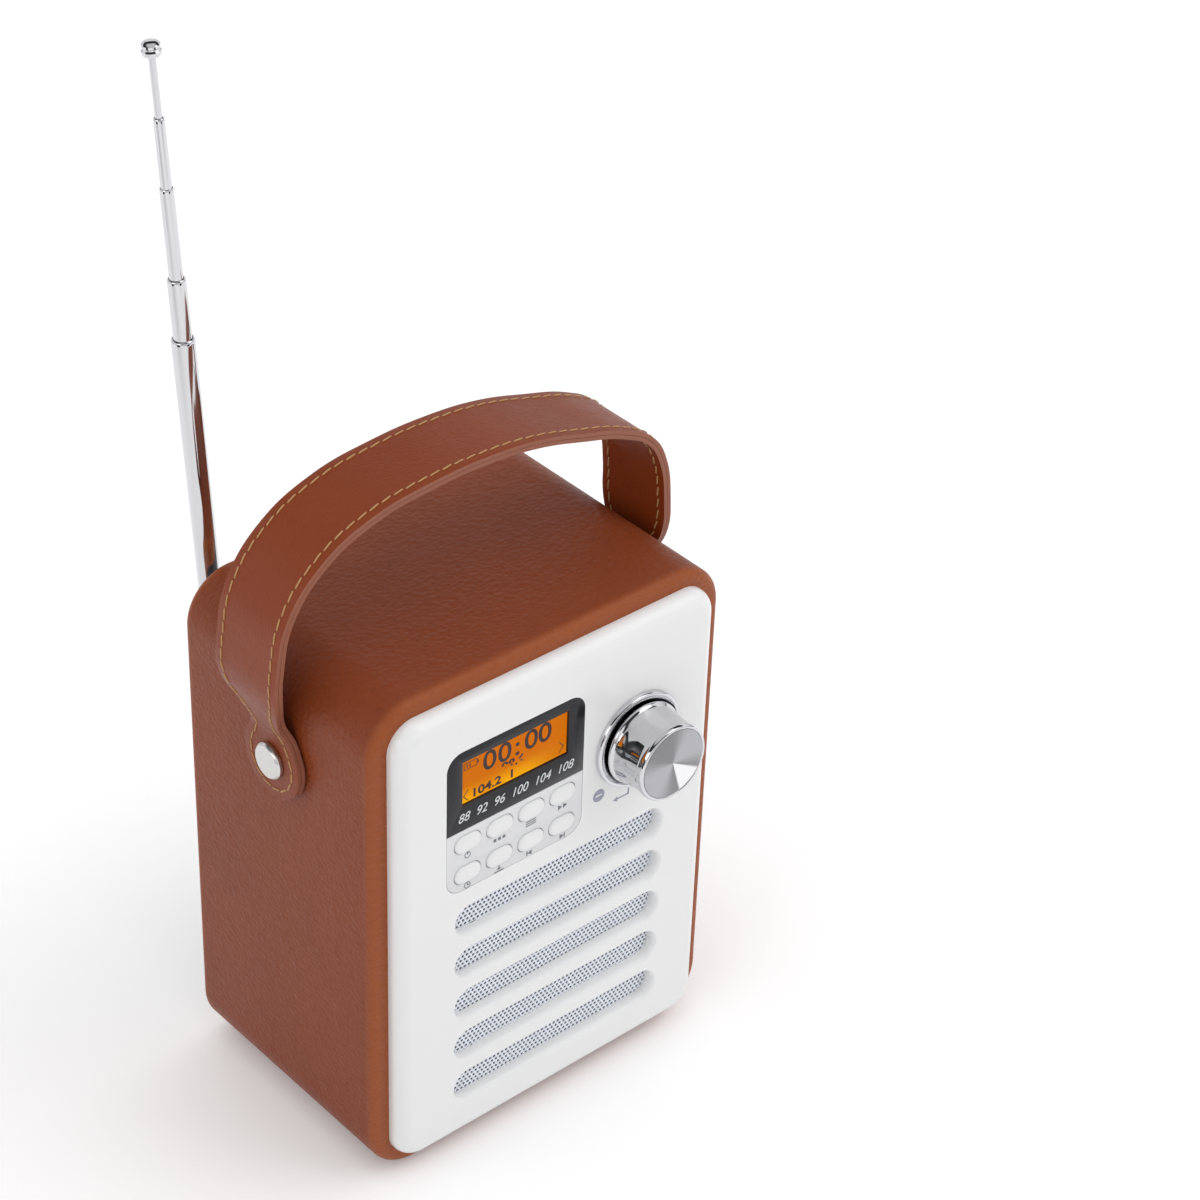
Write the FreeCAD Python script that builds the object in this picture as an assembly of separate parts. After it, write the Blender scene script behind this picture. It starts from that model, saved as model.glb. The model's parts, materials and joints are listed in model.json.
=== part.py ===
"""Tabletop radio: a leatherette-wrapped wooden cabinet with a moulded front panel, a strap handle,
a telescopic aerial and everything that works inside.

Millimetres. X runs to the right as seen from the front, Y to the back, Z up. While it is drawn, the
origin is under the middle of the cabinet, on the surface that the rubber feet stand on. At the end every
piece moves together, so that the origin is under the middle of the whole object's box.
"""
import FreeCAD
import Part
import math
import os
from FreeCAD import Vector

# --- cabinet ---------------------------------------------------------------------------------------
CABINET_W = 117.5
CABINET_D = 79.0
CABINET_H = 155.0
CABINET_CORNER_R = 14.5
SKIN_T = 1.0            # leatherette
SKIN_EDGE_R = 2.4       # rounding of the front and rear rims
WALL_T = 5.5            # wood
FOOT_R = 5.0
FOOT_T = 1.2
FOOT_INSET_X = 15.0
FOOT_INSET_Y = 13.0
BLOCK_SIZE = 15.0       # wooden corner blocks
BLOCK_DEPTH = 14.0

# --- front panel -----------------------------------------------------------------------------------
PANEL_OVERLAP_X = 1.2   # how far the panel covers the rim beyond the opening, each side
PANEL_OVERLAP_Z = 1.7
PANEL_CORNER_R = 8.4
PANEL_PROUD = 5.0
PANEL_EDGE_R = 0.86 * PANEL_PROUD
PANEL_FACE_T = 3.2
PANEL_RIM_T = 2.5
SPIGOT_T = 2.0
SPIGOT_DEPTH = 6.0
BOSS_R = 3.2
BOSS_DEPTH = 8.0
BOSS_INSET = 9.0        # screw bosses in from the opening's sides
LONG_SCREW_R = 1.1
LONG_SCREW_HEAD_R = 2.8
LONG_SCREW_HEAD_T = 1.8
LONG_SCREW_BITE = 4.0   # beyond the wooden block
SMALL_SCREW_R = 0.9
SMALL_SCREW_HEAD_R = 2.0
SMALL_SCREW_HEAD_T = 1.1
SMALL_SCREW_L = 4.8
SCREW_CLEARANCE = 0.3
HEAD_ROUND = 0.45       # shares of a screw head's height
DRIVE_SLOT_DEPTH = 0.35
DRIVE_SLOT_W = 0.7
SEAT_GAP = 0.3          # panel spigot and back cover to the cabinet's opening

# --- display and keypad ----------------------------------------------------------------------------
LABEL_X = -15.4         # middle of the display surround and keypad label
LABEL_W = 45.8
LABEL_TOP = CABINET_H - 18.3     # heights above the cabinet's underside
LABEL_SPLIT = CABINET_H - 43.6
LABEL_BOTTOM = CABINET_H - 63.5
LABEL_CORNER_R = 5.0
LABEL_T = 0.8
WINDOW_X = -15.6
WINDOW_Z = CABINET_H - 28.7
WINDOW_W = 35.2
WINDOW_H = 13.8
WINDOW_CORNER_R = 0.6
WINDOW_SUNK = 0.1       # behind the surround's face
CELL_MARGIN = 1.9       # liquid-crystal cell beyond the window, each side
CELL_T = 1.8
CELL_CORNER_R = 0.3
GUIDE_T = 3.0
FRAME_WALL = 1.0
FRAME_CORNER_R = 1.0
FRAME_GAP = 0.2         # round the frame in the panel
BOARD_BACK = 11.5       # front board's front face behind the panel's face
BOARD_T = 1.6
BOARD_TOP = CABINET_H - 10.0
BOARD_BOTTOM = CABINET_H - 67.5
STANDOFF_R = 2.0
STANDOFF_X = 34.0
STANDOFF_INSET_TOP = 3.0     # standoffs in from the board's top and bottom
STANDOFF_INSET_BOTTOM = 3.1
BUTTON_X0 = -31.3
BUTTON_PITCH_X = 10.6
BUTTON_COLUMNS = 4
BUTTON_ROWS = (CABINET_H - 48.2, CABINET_H - 58.2)
BUTTON_W = 8.6
BUTTON_H = 5.4
BUTTON_PROUD = 0.9
BUTTON_GAP = 0.2
BUTTON_EDGE_R = 0.5
FLANGE_W = 10.0
FLANGE_H = 7.4
FLANGE_T = 0.8
FLANGE_CORNER_R = 1.0
FLANGE_GAP = 0.15
STEM_R = 1.6
SWITCH_SIZE = 6.0
SWITCH_T = 3.6
SWITCH_HOLE_R = 1.8
SWITCH_HOLE_DEPTH = 1.5
STEM_IN_SWITCH = 0.3

# --- knob ------------------------------------------------------------------------------------------
KNOB_X = 26.2
KNOB_Z = CABINET_H - 41.9
RING_R = 14.4
RING_LIP_H = 1.7
RING_LIP_W = 0.9
RING_FLOOR_H = 0.5      # the dish's lowest height above the panel's face
RING_EASE = 0.5
COLLAR_R = 10.0
COLLAR_BORE_R = 8.4
KNOB_SKIRT_R = 12.2
KNOB_R = 11.4
KNOB_FACE_R = 10.3
KNOB_BACK_H = 2.0       # skirt's rear above the panel's face
KNOB_FRONT_H = 14.6
KNOB_SKIRT_T = 1.3
KNOB_STEP = 0.8         # from the skirt to the grip
KNOB_LIP_H = 1.3        # sloped edge round the face
KNOB_LIP_W = 0.5
KNOB_WEB = 2.0          # behind the face disc, to the bore
FACE_DISH = 0.15
FACE_DISC_T = 0.4
SHAFT_R = 3.0
RUNNING_GAP = 0.05
ENCODER_SIZE = 13.0
ENCODER_T = 5.5
ROTOR_R = 4.6
ROTOR_T = 3.4
ROTOR_SET = 0.8         # rotor's front behind the case's front
ROTOR_END_GAP = 0.05
SLEEVE_R = 4.4
SLEEVE_T = 2.0
SHAFT_END_GAP = 1.2     # shaft's rear in front of the board
BORE_END = 0.3          # case wall behind the shaft's bore

# --- loudspeaker -----------------------------------------------------------------------------------
SLOT_X = 1.2
SLOT_W = 73.6
SLOT_H = 11.8
SLOT_FLARE = 1.5
SLOT_Z0 = 22.1
SLOT_PITCH = 14.5
SLOT_COUNT = 5
GRILLE_T = 0.6
GRILLE_MARGIN = 2.4
GRILLE_CORNER_R = 4.0
GASKET_T = 1.0
SPEAKER_R = 33.0
SPEAKER_BORE_R = SPEAKER_R - 5.2
BASKET_T = 1.4
BASKET_DEPTH = 13.0
BASKET_WALL = 0.9
BASKET_BORE_R = 10.0
VENT_HALF = 6.0       # openings in the basket: half width, and their middles' radius
VENT_MID_R = SPEAKER_R - 9.0
VENT_FRONT = 3.5
VENT_REAR = 2.5
MAGNET_R = 18.0
MAGNET_T = 6.5
MAGNET_BORE_R = 10.0
PLATE_T = 2.5
PLATE_INSET = 1.0
PLATE_BORE_R = 8.6
POLE_R = 7.0
COIL_R = 8.1
COIL_BORE_R = 7.5
CONE_R = SPEAKER_BORE_R - 2.6
CONE_T = 0.5
CONE_RIM = 0.6
CONE_DEPTH = 9.0
SURROUND_T = 0.4
CAP_RISE = 3.0
EAR_R = 4.0
EAR_OUT = 2.455         # screws beyond the flange's edge
EAR_BOSS_R = 2.2
PILOT_SKIN = 1.2        # panel left in front of a pilot hole

# --- handle ----------------------------------------------------------------------------------------
RIVET_Y = -2.35         # the handle's axis
RIVET_Z = CABINET_H - 32.2
STRAP_W = 25.0
STRAP_T = 2.4
STRAP_GAP = 0.1
STRAP_RISE = 74.0       # top of the strap above its rivets
STRAP_STEPS = 2         # points of the inner line to each span of the outer one
LEG_STRAIGHT = 7.0      # the ends lie flat up to this height above the rivets
TAB_R = 11.3
NECK_W = 14.4
WASHER_T = 0.5
WASHER_R = 5.0
RIVET_HEAD_R = 5.2
RIVET_HEAD_T = 1.7
RIVET_CHAMFER = 0.6
RIVET_SHANK_R = 2.5
NUT_R = 4.5
NUT_T = 2.0
SHANK_PAST_NUT = 0.4

# --- back ------------------------------------------------------------------------------------------
COVER_T = 2.5
COVER_INSET = 1.0
MAIN_BOARD_Z = CABINET_H - 65.0
MAIN_BOARD_W = 78.0
MAIN_BOARD_D = 55.0
LEDGE_X = 28.0
LEDGE_Y = 14.0          # ledge screws in front of the cabinet's back
LEDGE_HALF = 5.0
LEDGE_REACH = 6.0
LEDGE_PILOT = 4.0
USB_X = 16.0
USB_W = 9.0
USB_H = 3.2
USB_L = 8.0
USB_MOUTH = 6.5
USB_WALL = 0.4
USB_CORNER_R = 1.1
TONGUE_HALF_W = 3.2
TONGUE_HALF_T = 0.35
TONGUE_SUNK = 0.8
JACK_X = 34.0
JACK_R = 1.8
JACK_DEPTH = 13.0
JACK_BODY = 6.0
JACK_L = 15.0
CAN_X0 = -26.0
CAN_X1 = 0.0
CAN_Y0 = 52.0           # in front of the cabinet's back
CAN_Y1 = 24.0
CAN_H = 4.5
CAN_CORNER_R = 1.5
RIBBON_X = 8.0
RIBBON_W = 16.0
RIBBON_T = 0.4
RIBBON_BEND_R = 5.0
RIBBON_RISE = 14.0      # above the main board's underside
RIBBON_LAND = 6.0       # behind the main board's front edge
BATTERY_R = 9.1
BATTERY_L = 65.0
BATTERY_BACK = 24.0     # middle in front of the cabinet's back
BATTERY_LIFT = 2.0
CRADLE_END = 4.0
CRADLE_HALF_D = 11.0
CRADLE_H = 12.0
CELL_END_GAP = 0.2
CELL_GAP = 0.3
CELL_BUTTON_R = 3.0
CELL_BUTTON_T = 1.0

# --- aerial ----------------------------------------------------------------------------------------
AERIAL_X = -44.7
AERIAL_Z = CABINET_H - 25.5
AERIAL_LEAN = 3.54      # degrees to the left
AERIAL_BACK = 6.5       # hinge pin behind the cabinet's back
MOUNT_R = 5.6
MOUNT_PROUD = 2.0
MOUNT_CHAMFER = 0.5
BUSH_WALL = 1.6
BUSH_T = 3.0            # bush inside the cover
SWIVEL_GAP = 0.2
TANG_GAP = 0.1
STEM_HEAD = 0.8         # riveted head beyond the stem's radius
STEM_HEAD_T = 1.0
PIN_PROUD = 0.3
PLUG_T = 3.0            # solid foot of the widest tube
TIP_EDGE_R = 0.9
SWIVEL_R = 5.0
SWIVEL_T = 1.2
STEM_PIN_R = 2.0
PIN_R = 0.9
TANG_T = 3.0
TANG_R = 2.8
EAR_T = 1.4
TUBE_START = 5.2        # base tube's lower end from the pin
TUBE_RADII = (3.1, 2.42, 1.8, 1.43, 0.93)
TUBE_TOPS = (91.5, 108.8, 134.2, 153.2, 169.7)
TUBE_LENGTHS = (86.3, 76.0, 74.0, 72.0, 70.0)
TIP_R = 2.45
TIP_T = 3.6

# --- places that follow ----------------------------------------------------------------------------
FRONT_Y = -CABINET_D / 2
BACK_Y = CABINET_D / 2
BASE_Z = FOOT_T
MID_Z = BASE_Z + CABINET_H / 2
FACE_Y = FRONT_Y - PANEL_PROUD
PANEL_REAR_Y = FACE_Y + PANEL_FACE_T
OPENING_W = CABINET_W - 2 * (SKIN_T + WALL_T)
OPENING_H = CABINET_H - 2 * (SKIN_T + WALL_T)
OPENING_R = CABINET_CORNER_R - SKIN_T - WALL_T
PANEL_W = OPENING_W + 2 * PANEL_OVERLAP_X
PANEL_H = OPENING_H + 2 * PANEL_OVERLAP_Z
BOARD_Y = FACE_Y + BOARD_BACK
GRILLE_Y = PANEL_REAR_Y
BASKET_Y = GRILLE_Y + GRILLE_T + GASKET_T
COVER_Y = BACK_Y - COVER_INSET - COVER_T
SLOT_MID_Z = BASE_Z + SLOT_Z0 + SLOT_PITCH * (SLOT_COUNT - 1) / 2
EAR_Z = 1.5 * SLOT_PITCH
EAR_X = math.sqrt((SPEAKER_R + EAR_OUT) ** 2 - EAR_Z ** 2)
BOSS_PLACES = [(sx * (OPENING_W / 2 - BOSS_INSET), MID_Z + sz * (OPENING_H / 2 - BOSS_INSET))
               for sx in (-1, 1) for sz in (-1, 1)]
EAR_PLACES = [(SLOT_X + sx * EAR_X, SLOT_MID_Z + sz * EAR_Z) for sx in (-1, 1) for sz in (-1, 1)]


def cylinder(radius, length, base, axis=(0, 1, 0)):
    """A round bar from base along axis."""
    return Part.makeCylinder(radius, length, Vector(*base), Vector(*axis))


def pipe(outer, inner, length, base, axis=(0, 1, 0)):
    """A round bar with a bore right through."""
    return cylinder(outer, length, base, axis).cut(cylinder(inner, length, base, axis))


def box(x0, x1, y0, y1, z0, z1):
    """A box between two values on each axis."""
    return Part.makeBox(x1 - x0, y1 - y0, z1 - z0, Vector(x0, y0, z0))


def rounded_outline(width, height, radius, x, y, z):
    """A closed rounded rectangle in a plane across Y, centred at x, z."""
    a = width / 2 - radius
    b = height / 2 - radius
    q = radius * math.sqrt(0.5)
    edges = []
    corners = ((a, b, 1, 1), (-a, b, -1, 1), (-a, -b, -1, -1), (a, -b, 1, -1))
    for i, (cx, cz, sx, sz) in enumerate(corners):
        along_x = Vector(x + cx + sx * radius, y, z + cz)
        along_z = Vector(x + cx, y, z + cz + sz * radius)
        middle = Vector(x + cx + sx * q, y, z + cz + sz * q)
        start, end = (along_x, along_z) if i % 2 == 0 else (along_z, along_x)
        if edges and (edges[-1].Vertexes[-1].Point - start).Length > 1e-6:
            edges.append(Part.makeLine(edges[-1].Vertexes[-1].Point, start))
        edges.append(Part.Arc(start, middle, end).toShape())
    first = edges[0].Vertexes[0].Point
    last = edges[-1].Vertexes[-1].Point
    if (first - last).Length > 1e-6:
        edges.append(Part.makeLine(last, first))
    return Part.Wire(edges)


def rounded_block(width, height, radius, y0, y1, x=0.0, z=MID_Z):
    """A rounded rectangle extruded from y0 to y1."""
    face = Part.Face(rounded_outline(width, height, radius, x, y0, z))
    return face.extrude(Vector(0, y1 - y0, 0))


def edges_at(shape, y, outline=None):
    """The edges that lie in the plane across Y at y, within a box if one is given."""
    found = []
    for edge in shape.Edges:
        bb = edge.BoundBox
        flat = abs(bb.YMin - y) < 1e-3 and abs(bb.YMax - y) < 1e-3
        if flat and (outline is None or outline(bb)):
            found.append(edge)
    return found


def turned(profile, x, z, face_y):
    """A solid turned about the Y axis through x, z. The profile is (radius, height in front of face_y)."""
    points = [Vector(x + r, face_y - h, z) for r, h in profile]
    face = Part.Face(Part.makePolygon(points + points[:1]))
    return face.revolve(Vector(x, 0, z), Vector(0, 1, 0), 360)


def fuse(shapes):
    """One solid from several that touch or overlap."""
    return shapes[0].multiFuse(shapes[1:]).removeSplitter()


# --- cabinet ---------------------------------------------------------------------------------------
def cabinet_outer(inset):
    """The cabinet's rounded block, set in on all sides, with its rims rounded."""
    block = rounded_block(CABINET_W - 2 * inset, CABINET_H - 2 * inset, CABINET_CORNER_R - inset,
                          FRONT_Y + inset, BACK_Y - inset)
    rims = edges_at(block, FRONT_Y + inset) + edges_at(block, BACK_Y - inset)
    return block.makeFillet(SKIN_EDGE_R - inset, rims)


def opening_block(gap=0.0, y0=FRONT_Y - 1.0, y1=BACK_Y + 1.0):
    """The space inside the cabinet's walls, less a gap."""
    return rounded_block(OPENING_W - 2 * gap, OPENING_H - 2 * gap, OPENING_R - gap, y0, y1)


def rivet_holes():
    """The two holes through the cabinet's sides."""
    y = RIVET_Y
    z = BASE_Z + RIVET_Z
    return cylinder(RIVET_SHANK_R, CABINET_W + 2, (-CABINET_W / 2 - 1, y, z), (1, 0, 0))


def cabinet_shell():
    """The wooden tube."""
    return cabinet_outer(SKIN_T).cut(opening_block()).cut(rivet_holes())


def leather_wrap():
    """The leatherette skin, folded over both rims of the wood."""
    return cabinet_outer(0.0).cut(cabinet_outer(SKIN_T)).cut(opening_block()).cut(rivet_holes())


def corner_blocks(y0, y1, drill_r):
    """Four wooden blocks in the corners of the cabinet, drilled on the screws' places."""
    inner = opening_block(0.0, y0, y1)
    blocks = []
    for x, z in BOSS_PLACES:
        sx = math.copysign(1, x)
        sz = math.copysign(1, z - MID_Z)
        xs = sorted((sx * OPENING_W / 2, sx * (OPENING_W / 2 - BLOCK_SIZE)))
        zs = sorted((MID_Z + sz * OPENING_H / 2, MID_Z + sz * (OPENING_H / 2 - BLOCK_SIZE)))
        block = box(xs[0], xs[1], y0, y1, zs[0], zs[1]).common(inner)
        blocks.append(block.cut(cylinder(drill_r, y1 - y0, (x, y0, z))))
    return blocks


def all_corner_blocks():
    """The front blocks, drilled clear for the panel's screws, and the rear ones, drilled as pilots."""
    front_y = FRONT_Y + BOSS_DEPTH
    front = corner_blocks(front_y, front_y + BLOCK_DEPTH, LONG_SCREW_R + SCREW_CLEARANCE)
    return Part.makeCompound(front + corner_blocks(COVER_Y - BLOCK_DEPTH, COVER_Y, LONG_SCREW_R))


def rubber_feet():
    """Four discs under the cabinet."""
    x = CABINET_W / 2 - FOOT_INSET_X
    y = CABINET_D / 2 - FOOT_INSET_Y
    return Part.makeCompound([cylinder(FOOT_R, FOOT_T, (sx * x, sy * y, 0), (0, 0, 1))
                              for sx in (-1, 1) for sy in (-1, 1)])


# --- front panel -----------------------------------------------------------------------------------
def slot_cutter(z):
    """One speaker slot: full size at the panel's face and narrower at the grille."""
    front = rounded_outline(SLOT_W, SLOT_H, SLOT_H / 2, SLOT_X, FACE_Y, z)
    rear_h = SLOT_H - 2 * SLOT_FLARE
    rear = rounded_outline(SLOT_W - 2 * SLOT_FLARE, rear_h, rear_h / 2, SLOT_X, PANEL_REAR_Y, z)
    return Part.makeLoft([front, rear], True, True)


def label_block(top, bottom, y0, y1, gap=0.0):
    """A piece of the rounded display and keypad area between two heights."""
    whole = rounded_block(LABEL_W - 2 * gap, LABEL_TOP - LABEL_BOTTOM - 2 * gap, LABEL_CORNER_R - gap,
                          y0, y1, LABEL_X, BASE_Z + (LABEL_TOP + LABEL_BOTTOM) / 2)
    part = box(LABEL_X - LABEL_W, LABEL_X + LABEL_W, y0, y1, BASE_Z + bottom, BASE_Z + top)
    return whole.common(part)


def button_places():
    """Middles of the eight buttons, the top row first."""
    return [(BUTTON_X0 + i * BUTTON_PITCH_X, BASE_Z + z) for z in BUTTON_ROWS for i in range(BUTTON_COLUMNS)]


def button_hole(x, z, y0, y1):
    """The opening that one button passes through."""
    height = BUTTON_H + 2 * BUTTON_GAP
    return rounded_block(BUTTON_W + 2 * BUTTON_GAP, height, height / 2, y0, y1, x, z)


def display_frame_block(gap=0.0):
    """The outside of the display's frame."""
    grow = 2 * (CELL_MARGIN + FRAME_WALL + gap)
    return rounded_block(WINDOW_W + grow, WINDOW_H + grow, FRAME_CORNER_R, FACE_Y + LABEL_T, BOARD_Y,
                         WINDOW_X, BASE_Z + WINDOW_Z)


def standoff_places():
    """Screws that hold the front board to the panel."""
    top = BASE_Z + BOARD_TOP - STANDOFF_INSET_TOP
    bottom = BASE_Z + BOARD_BOTTOM + STANDOFF_INSET_BOTTOM
    return [(sx * STANDOFF_X, z) for z in (top, bottom) for sx in (-1, 1)]


def front_panel():
    """The white moulding with its rim, spigot, bosses, slots and openings."""
    body = rounded_block(PANEL_W, PANEL_H, PANEL_CORNER_R, FACE_Y, FRONT_Y)
    body = body.makeFillet(PANEL_EDGE_R, edges_at(body, FACE_Y))
    hollow = rounded_block(PANEL_W - 2 * PANEL_RIM_T, PANEL_H - 2 * PANEL_RIM_T,
                           PANEL_CORNER_R - PANEL_RIM_T, PANEL_REAR_Y, FRONT_Y)
    body = body.cut(hollow)
    spigot = opening_block(SEAT_GAP, PANEL_REAR_Y, FRONT_Y + SPIGOT_DEPTH)
    spigot = spigot.cut(opening_block(SEAT_GAP + SPIGOT_T, PANEL_REAR_Y, FRONT_Y + SPIGOT_DEPTH))
    bosses = [cylinder(BOSS_R, FRONT_Y + BOSS_DEPTH - PANEL_REAR_Y, (x, PANEL_REAR_Y, z))
              for x, z in BOSS_PLACES]
    bosses += [cylinder(EAR_BOSS_R, GRILLE_T + GASKET_T, (x, PANEL_REAR_Y, z)) for x, z in EAR_PLACES]
    bosses += [cylinder(STANDOFF_R, BOARD_Y - PANEL_REAR_Y, (x, PANEL_REAR_Y, z))
               for x, z in standoff_places()]
    body = fuse([body, spigot] + bosses)
    pilots = [cylinder(LONG_SCREW_R, BOSS_DEPTH, (x, FRONT_Y, z)) for x, z in BOSS_PLACES]
    ear_pilot = BASKET_Y - FACE_Y - PILOT_SKIN
    pilots += [cylinder(SMALL_SCREW_R, ear_pilot, (x, FACE_Y + PILOT_SKIN, z)) for x, z in EAR_PLACES]
    pilots += [cylinder(SMALL_SCREW_R, SMALL_SCREW_L, (x, BOARD_Y - SMALL_SCREW_L, z))
               for x, z in standoff_places()]
    slots = [slot_cutter(BASE_Z + SLOT_Z0 + i * SLOT_PITCH) for i in range(SLOT_COUNT)]
    recess = label_block(LABEL_TOP, LABEL_BOTTOM, FACE_Y, FACE_Y + LABEL_T)
    keys = [button_hole(x, z, FACE_Y, PANEL_REAR_Y) for x, z in button_places()]
    knob_hole = cylinder(COLLAR_R, PANEL_FACE_T, (KNOB_X, FACE_Y, BASE_Z + KNOB_Z))
    return body.cut(pilots + slots + [recess, knob_hole, display_frame_block(FRAME_GAP)] + keys)


def window_block(y0):
    """The window's outline from y0 to the back of the surround."""
    return rounded_block(WINDOW_W, WINDOW_H, WINDOW_CORNER_R, y0, FACE_Y + LABEL_T,
                         WINDOW_X, BASE_Z + WINDOW_Z)


def display_window():
    """The clear pane in the black surround."""
    return window_block(FACE_Y + WINDOW_SUNK)


def display_surround():
    """The black surround, open where the window sits."""
    plate = label_block(LABEL_TOP, LABEL_SPLIT, FACE_Y, FACE_Y + LABEL_T)
    return plate.cut(window_block(FACE_Y))


def keypad_label():
    """The grey label with its eight openings."""
    plate = label_block(LABEL_SPLIT, LABEL_BOTTOM, FACE_Y, FACE_Y + LABEL_T)
    return plate.cut([button_hole(x, z, FACE_Y, FACE_Y + LABEL_T) for x, z in button_places()])


def lcd_cell():
    """The liquid-crystal cell, straight behind the window."""
    grow = 2 * CELL_MARGIN
    y0 = FACE_Y + LABEL_T
    return rounded_block(WINDOW_W + grow, WINDOW_H + grow, CELL_CORNER_R, y0, y0 + CELL_T,
                         WINDOW_X, BASE_Z + WINDOW_Z)


def lcd_light_guide():
    """The lit plate behind the cell."""
    y0 = FACE_Y + LABEL_T + CELL_T
    return rounded_block(WINDOW_W + CELL_MARGIN, WINDOW_H + CELL_MARGIN, CELL_CORNER_R, y0, y0 + GUIDE_T,
                         WINDOW_X, BASE_Z + WINDOW_Z)


def lcd_frame():
    """The frame that carries the cell and the light guide on the front board."""
    return display_frame_block().cut([lcd_cell(), lcd_light_guide()])


def button(x, z):
    """One button: domed cap, flange behind the panel and stem into its switch."""
    front = FACE_Y - BUTTON_PROUD
    flange_y = PANEL_REAR_Y + FLANGE_GAP
    cap = rounded_block(BUTTON_W, BUTTON_H, BUTTON_H / 2, front, flange_y, x, z)
    cap = cap.makeFillet(BUTTON_EDGE_R, edges_at(cap, front))
    flange = rounded_block(FLANGE_W, FLANGE_H, FLANGE_CORNER_R, flange_y, flange_y + FLANGE_T, x, z)
    stem_end = BOARD_Y - SWITCH_T + STEM_IN_SWITCH
    stem = cylinder(STEM_R, stem_end - flange_y, (x, flange_y, z))
    return fuse([cap, flange, stem])


def tact_switches():
    """Eight switches on the front board, each with the well its button's stem works in."""
    switches = []
    h = SWITCH_SIZE / 2
    y0 = BOARD_Y - SWITCH_T
    for x, z in button_places():
        body = box(x - h, x + h, y0, BOARD_Y, z - h, z + h)
        switches.append(body.cut(cylinder(SWITCH_HOLE_R, SWITCH_HOLE_DEPTH, (x, y0, z))))
    return Part.makeCompound(switches)


def front_board():
    """The circuit board behind the display, keys and knob."""
    half = OPENING_W / 2 - BLOCK_SIZE - SEAT_GAP
    board = box(-half, half, BOARD_Y, BOARD_Y + BOARD_T, BASE_Z + BOARD_BOTTOM,
                BASE_Z + BOARD_TOP)
    hole_r = SMALL_SCREW_R + SCREW_CLEARANCE
    return board.cut([cylinder(hole_r, BOARD_T, (x, BOARD_Y, z)) for x, z in standoff_places()])


# --- screws ----------------------------------------------------------------------------------------
def screw(seat, axis, head_r, head_t, shank_r, length):
    """A slotted pan-head screw: its head's underside at seat, its shank running along axis."""
    head = cylinder(head_r, head_t, (0, 0, 0), (0, 0, -1))
    rim = [e for e in head.Edges if abs(e.BoundBox.ZMin + head_t) < 0.01 and e.BoundBox.ZLength < 0.01]
    head = head.makeFillet(head_t * HEAD_ROUND, rim)
    half = DRIVE_SLOT_W / 2
    slot = box(-head_r, head_r, -half, half, -head_t, -head_t * (1 - DRIVE_SLOT_DEPTH))
    made = fuse([head.cut(slot), cylinder(shank_r, length, (0, 0, 0), (0, 0, 1))])
    made.Placement = FreeCAD.Placement(Vector(*seat), FreeCAD.Rotation(Vector(0, 0, 1), Vector(*axis)))
    return made


def long_screws():
    """Eight equal screws: four through the front blocks into the panel, four through the back cover."""
    front_seat = FRONT_Y + BOSS_DEPTH + BLOCK_DEPTH
    seats = [(x, y, z) for y in (front_seat, COVER_Y + COVER_T) for x, z in BOSS_PLACES]
    return Part.makeCompound([screw(seat, (0, -1, 0), LONG_SCREW_HEAD_R, LONG_SCREW_HEAD_T, LONG_SCREW_R,
                                    BLOCK_DEPTH + LONG_SCREW_BITE) for seat in seats])


def small_screws():
    """Ten equal screws: four in the front board, four in the loudspeaker's ears, two in the main board."""
    seats = [((x, BOARD_Y + BOARD_T, z), (0, -1, 0)) for x, z in standoff_places()]
    seats += [((x, BASKET_Y + BASKET_T, z), (0, -1, 0)) for x, z in EAR_PLACES]
    top = BASE_Z + MAIN_BOARD_Z + BOARD_T
    seats += [((x, y, top), (0, 0, -1)) for x, y in ledge_places()]
    return Part.makeCompound([screw(seat, axis, SMALL_SCREW_HEAD_R, SMALL_SCREW_HEAD_T, SMALL_SCREW_R,
                                    SMALL_SCREW_L) for seat, axis in seats])


# --- knob ------------------------------------------------------------------------------------------
def knob_ring():
    """The dished ring round the knob, held by its collar in the panel."""
    lip = RING_LIP_H
    profile = [(COLLAR_BORE_R, -PANEL_FACE_T), (COLLAR_R, -PANEL_FACE_T), (COLLAR_R, 0.0), (RING_R, 0.0),
               (RING_R, lip - RING_EASE), (RING_R - RING_EASE, lip), (RING_R - RING_LIP_W, lip),
               (KNOB_SKIRT_R + RING_EASE, RING_FLOOR_H + 0.3), (COLLAR_R, RING_FLOOR_H),
               (COLLAR_BORE_R, RING_FLOOR_H)]
    return turned(profile, KNOB_X, BASE_Z + KNOB_Z, FACE_Y)


def knob():
    """The push-and-turn knob, bored for its shaft and recessed for its face disc."""
    back = KNOB_BACK_H
    front = KNOB_FRONT_H
    seat = front - FACE_DISC_T
    bore_end = seat - KNOB_WEB
    skirt = back + KNOB_SKIRT_T
    profile = [(SHAFT_R, back), (KNOB_SKIRT_R, back), (KNOB_SKIRT_R, skirt), (KNOB_R, skirt + KNOB_STEP),
               (KNOB_R, front - KNOB_LIP_H), (KNOB_FACE_R + KNOB_LIP_W, front), (KNOB_FACE_R, front),
               (KNOB_FACE_R, seat), (0.0, seat), (0.0, bore_end), (SHAFT_R, bore_end)]
    return turned(profile, KNOB_X, BASE_Z + KNOB_Z, FACE_Y)


def knob_face():
    """The spun disc in the knob's front, very slightly dished."""
    seat = KNOB_FRONT_H - FACE_DISC_T
    profile = [(0.0, seat), (KNOB_FACE_R, seat), (KNOB_FACE_R, KNOB_FRONT_H), (0.0, KNOB_FRONT_H - FACE_DISH)]
    return turned(profile, KNOB_X, BASE_Z + KNOB_Z, FACE_Y)


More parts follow.
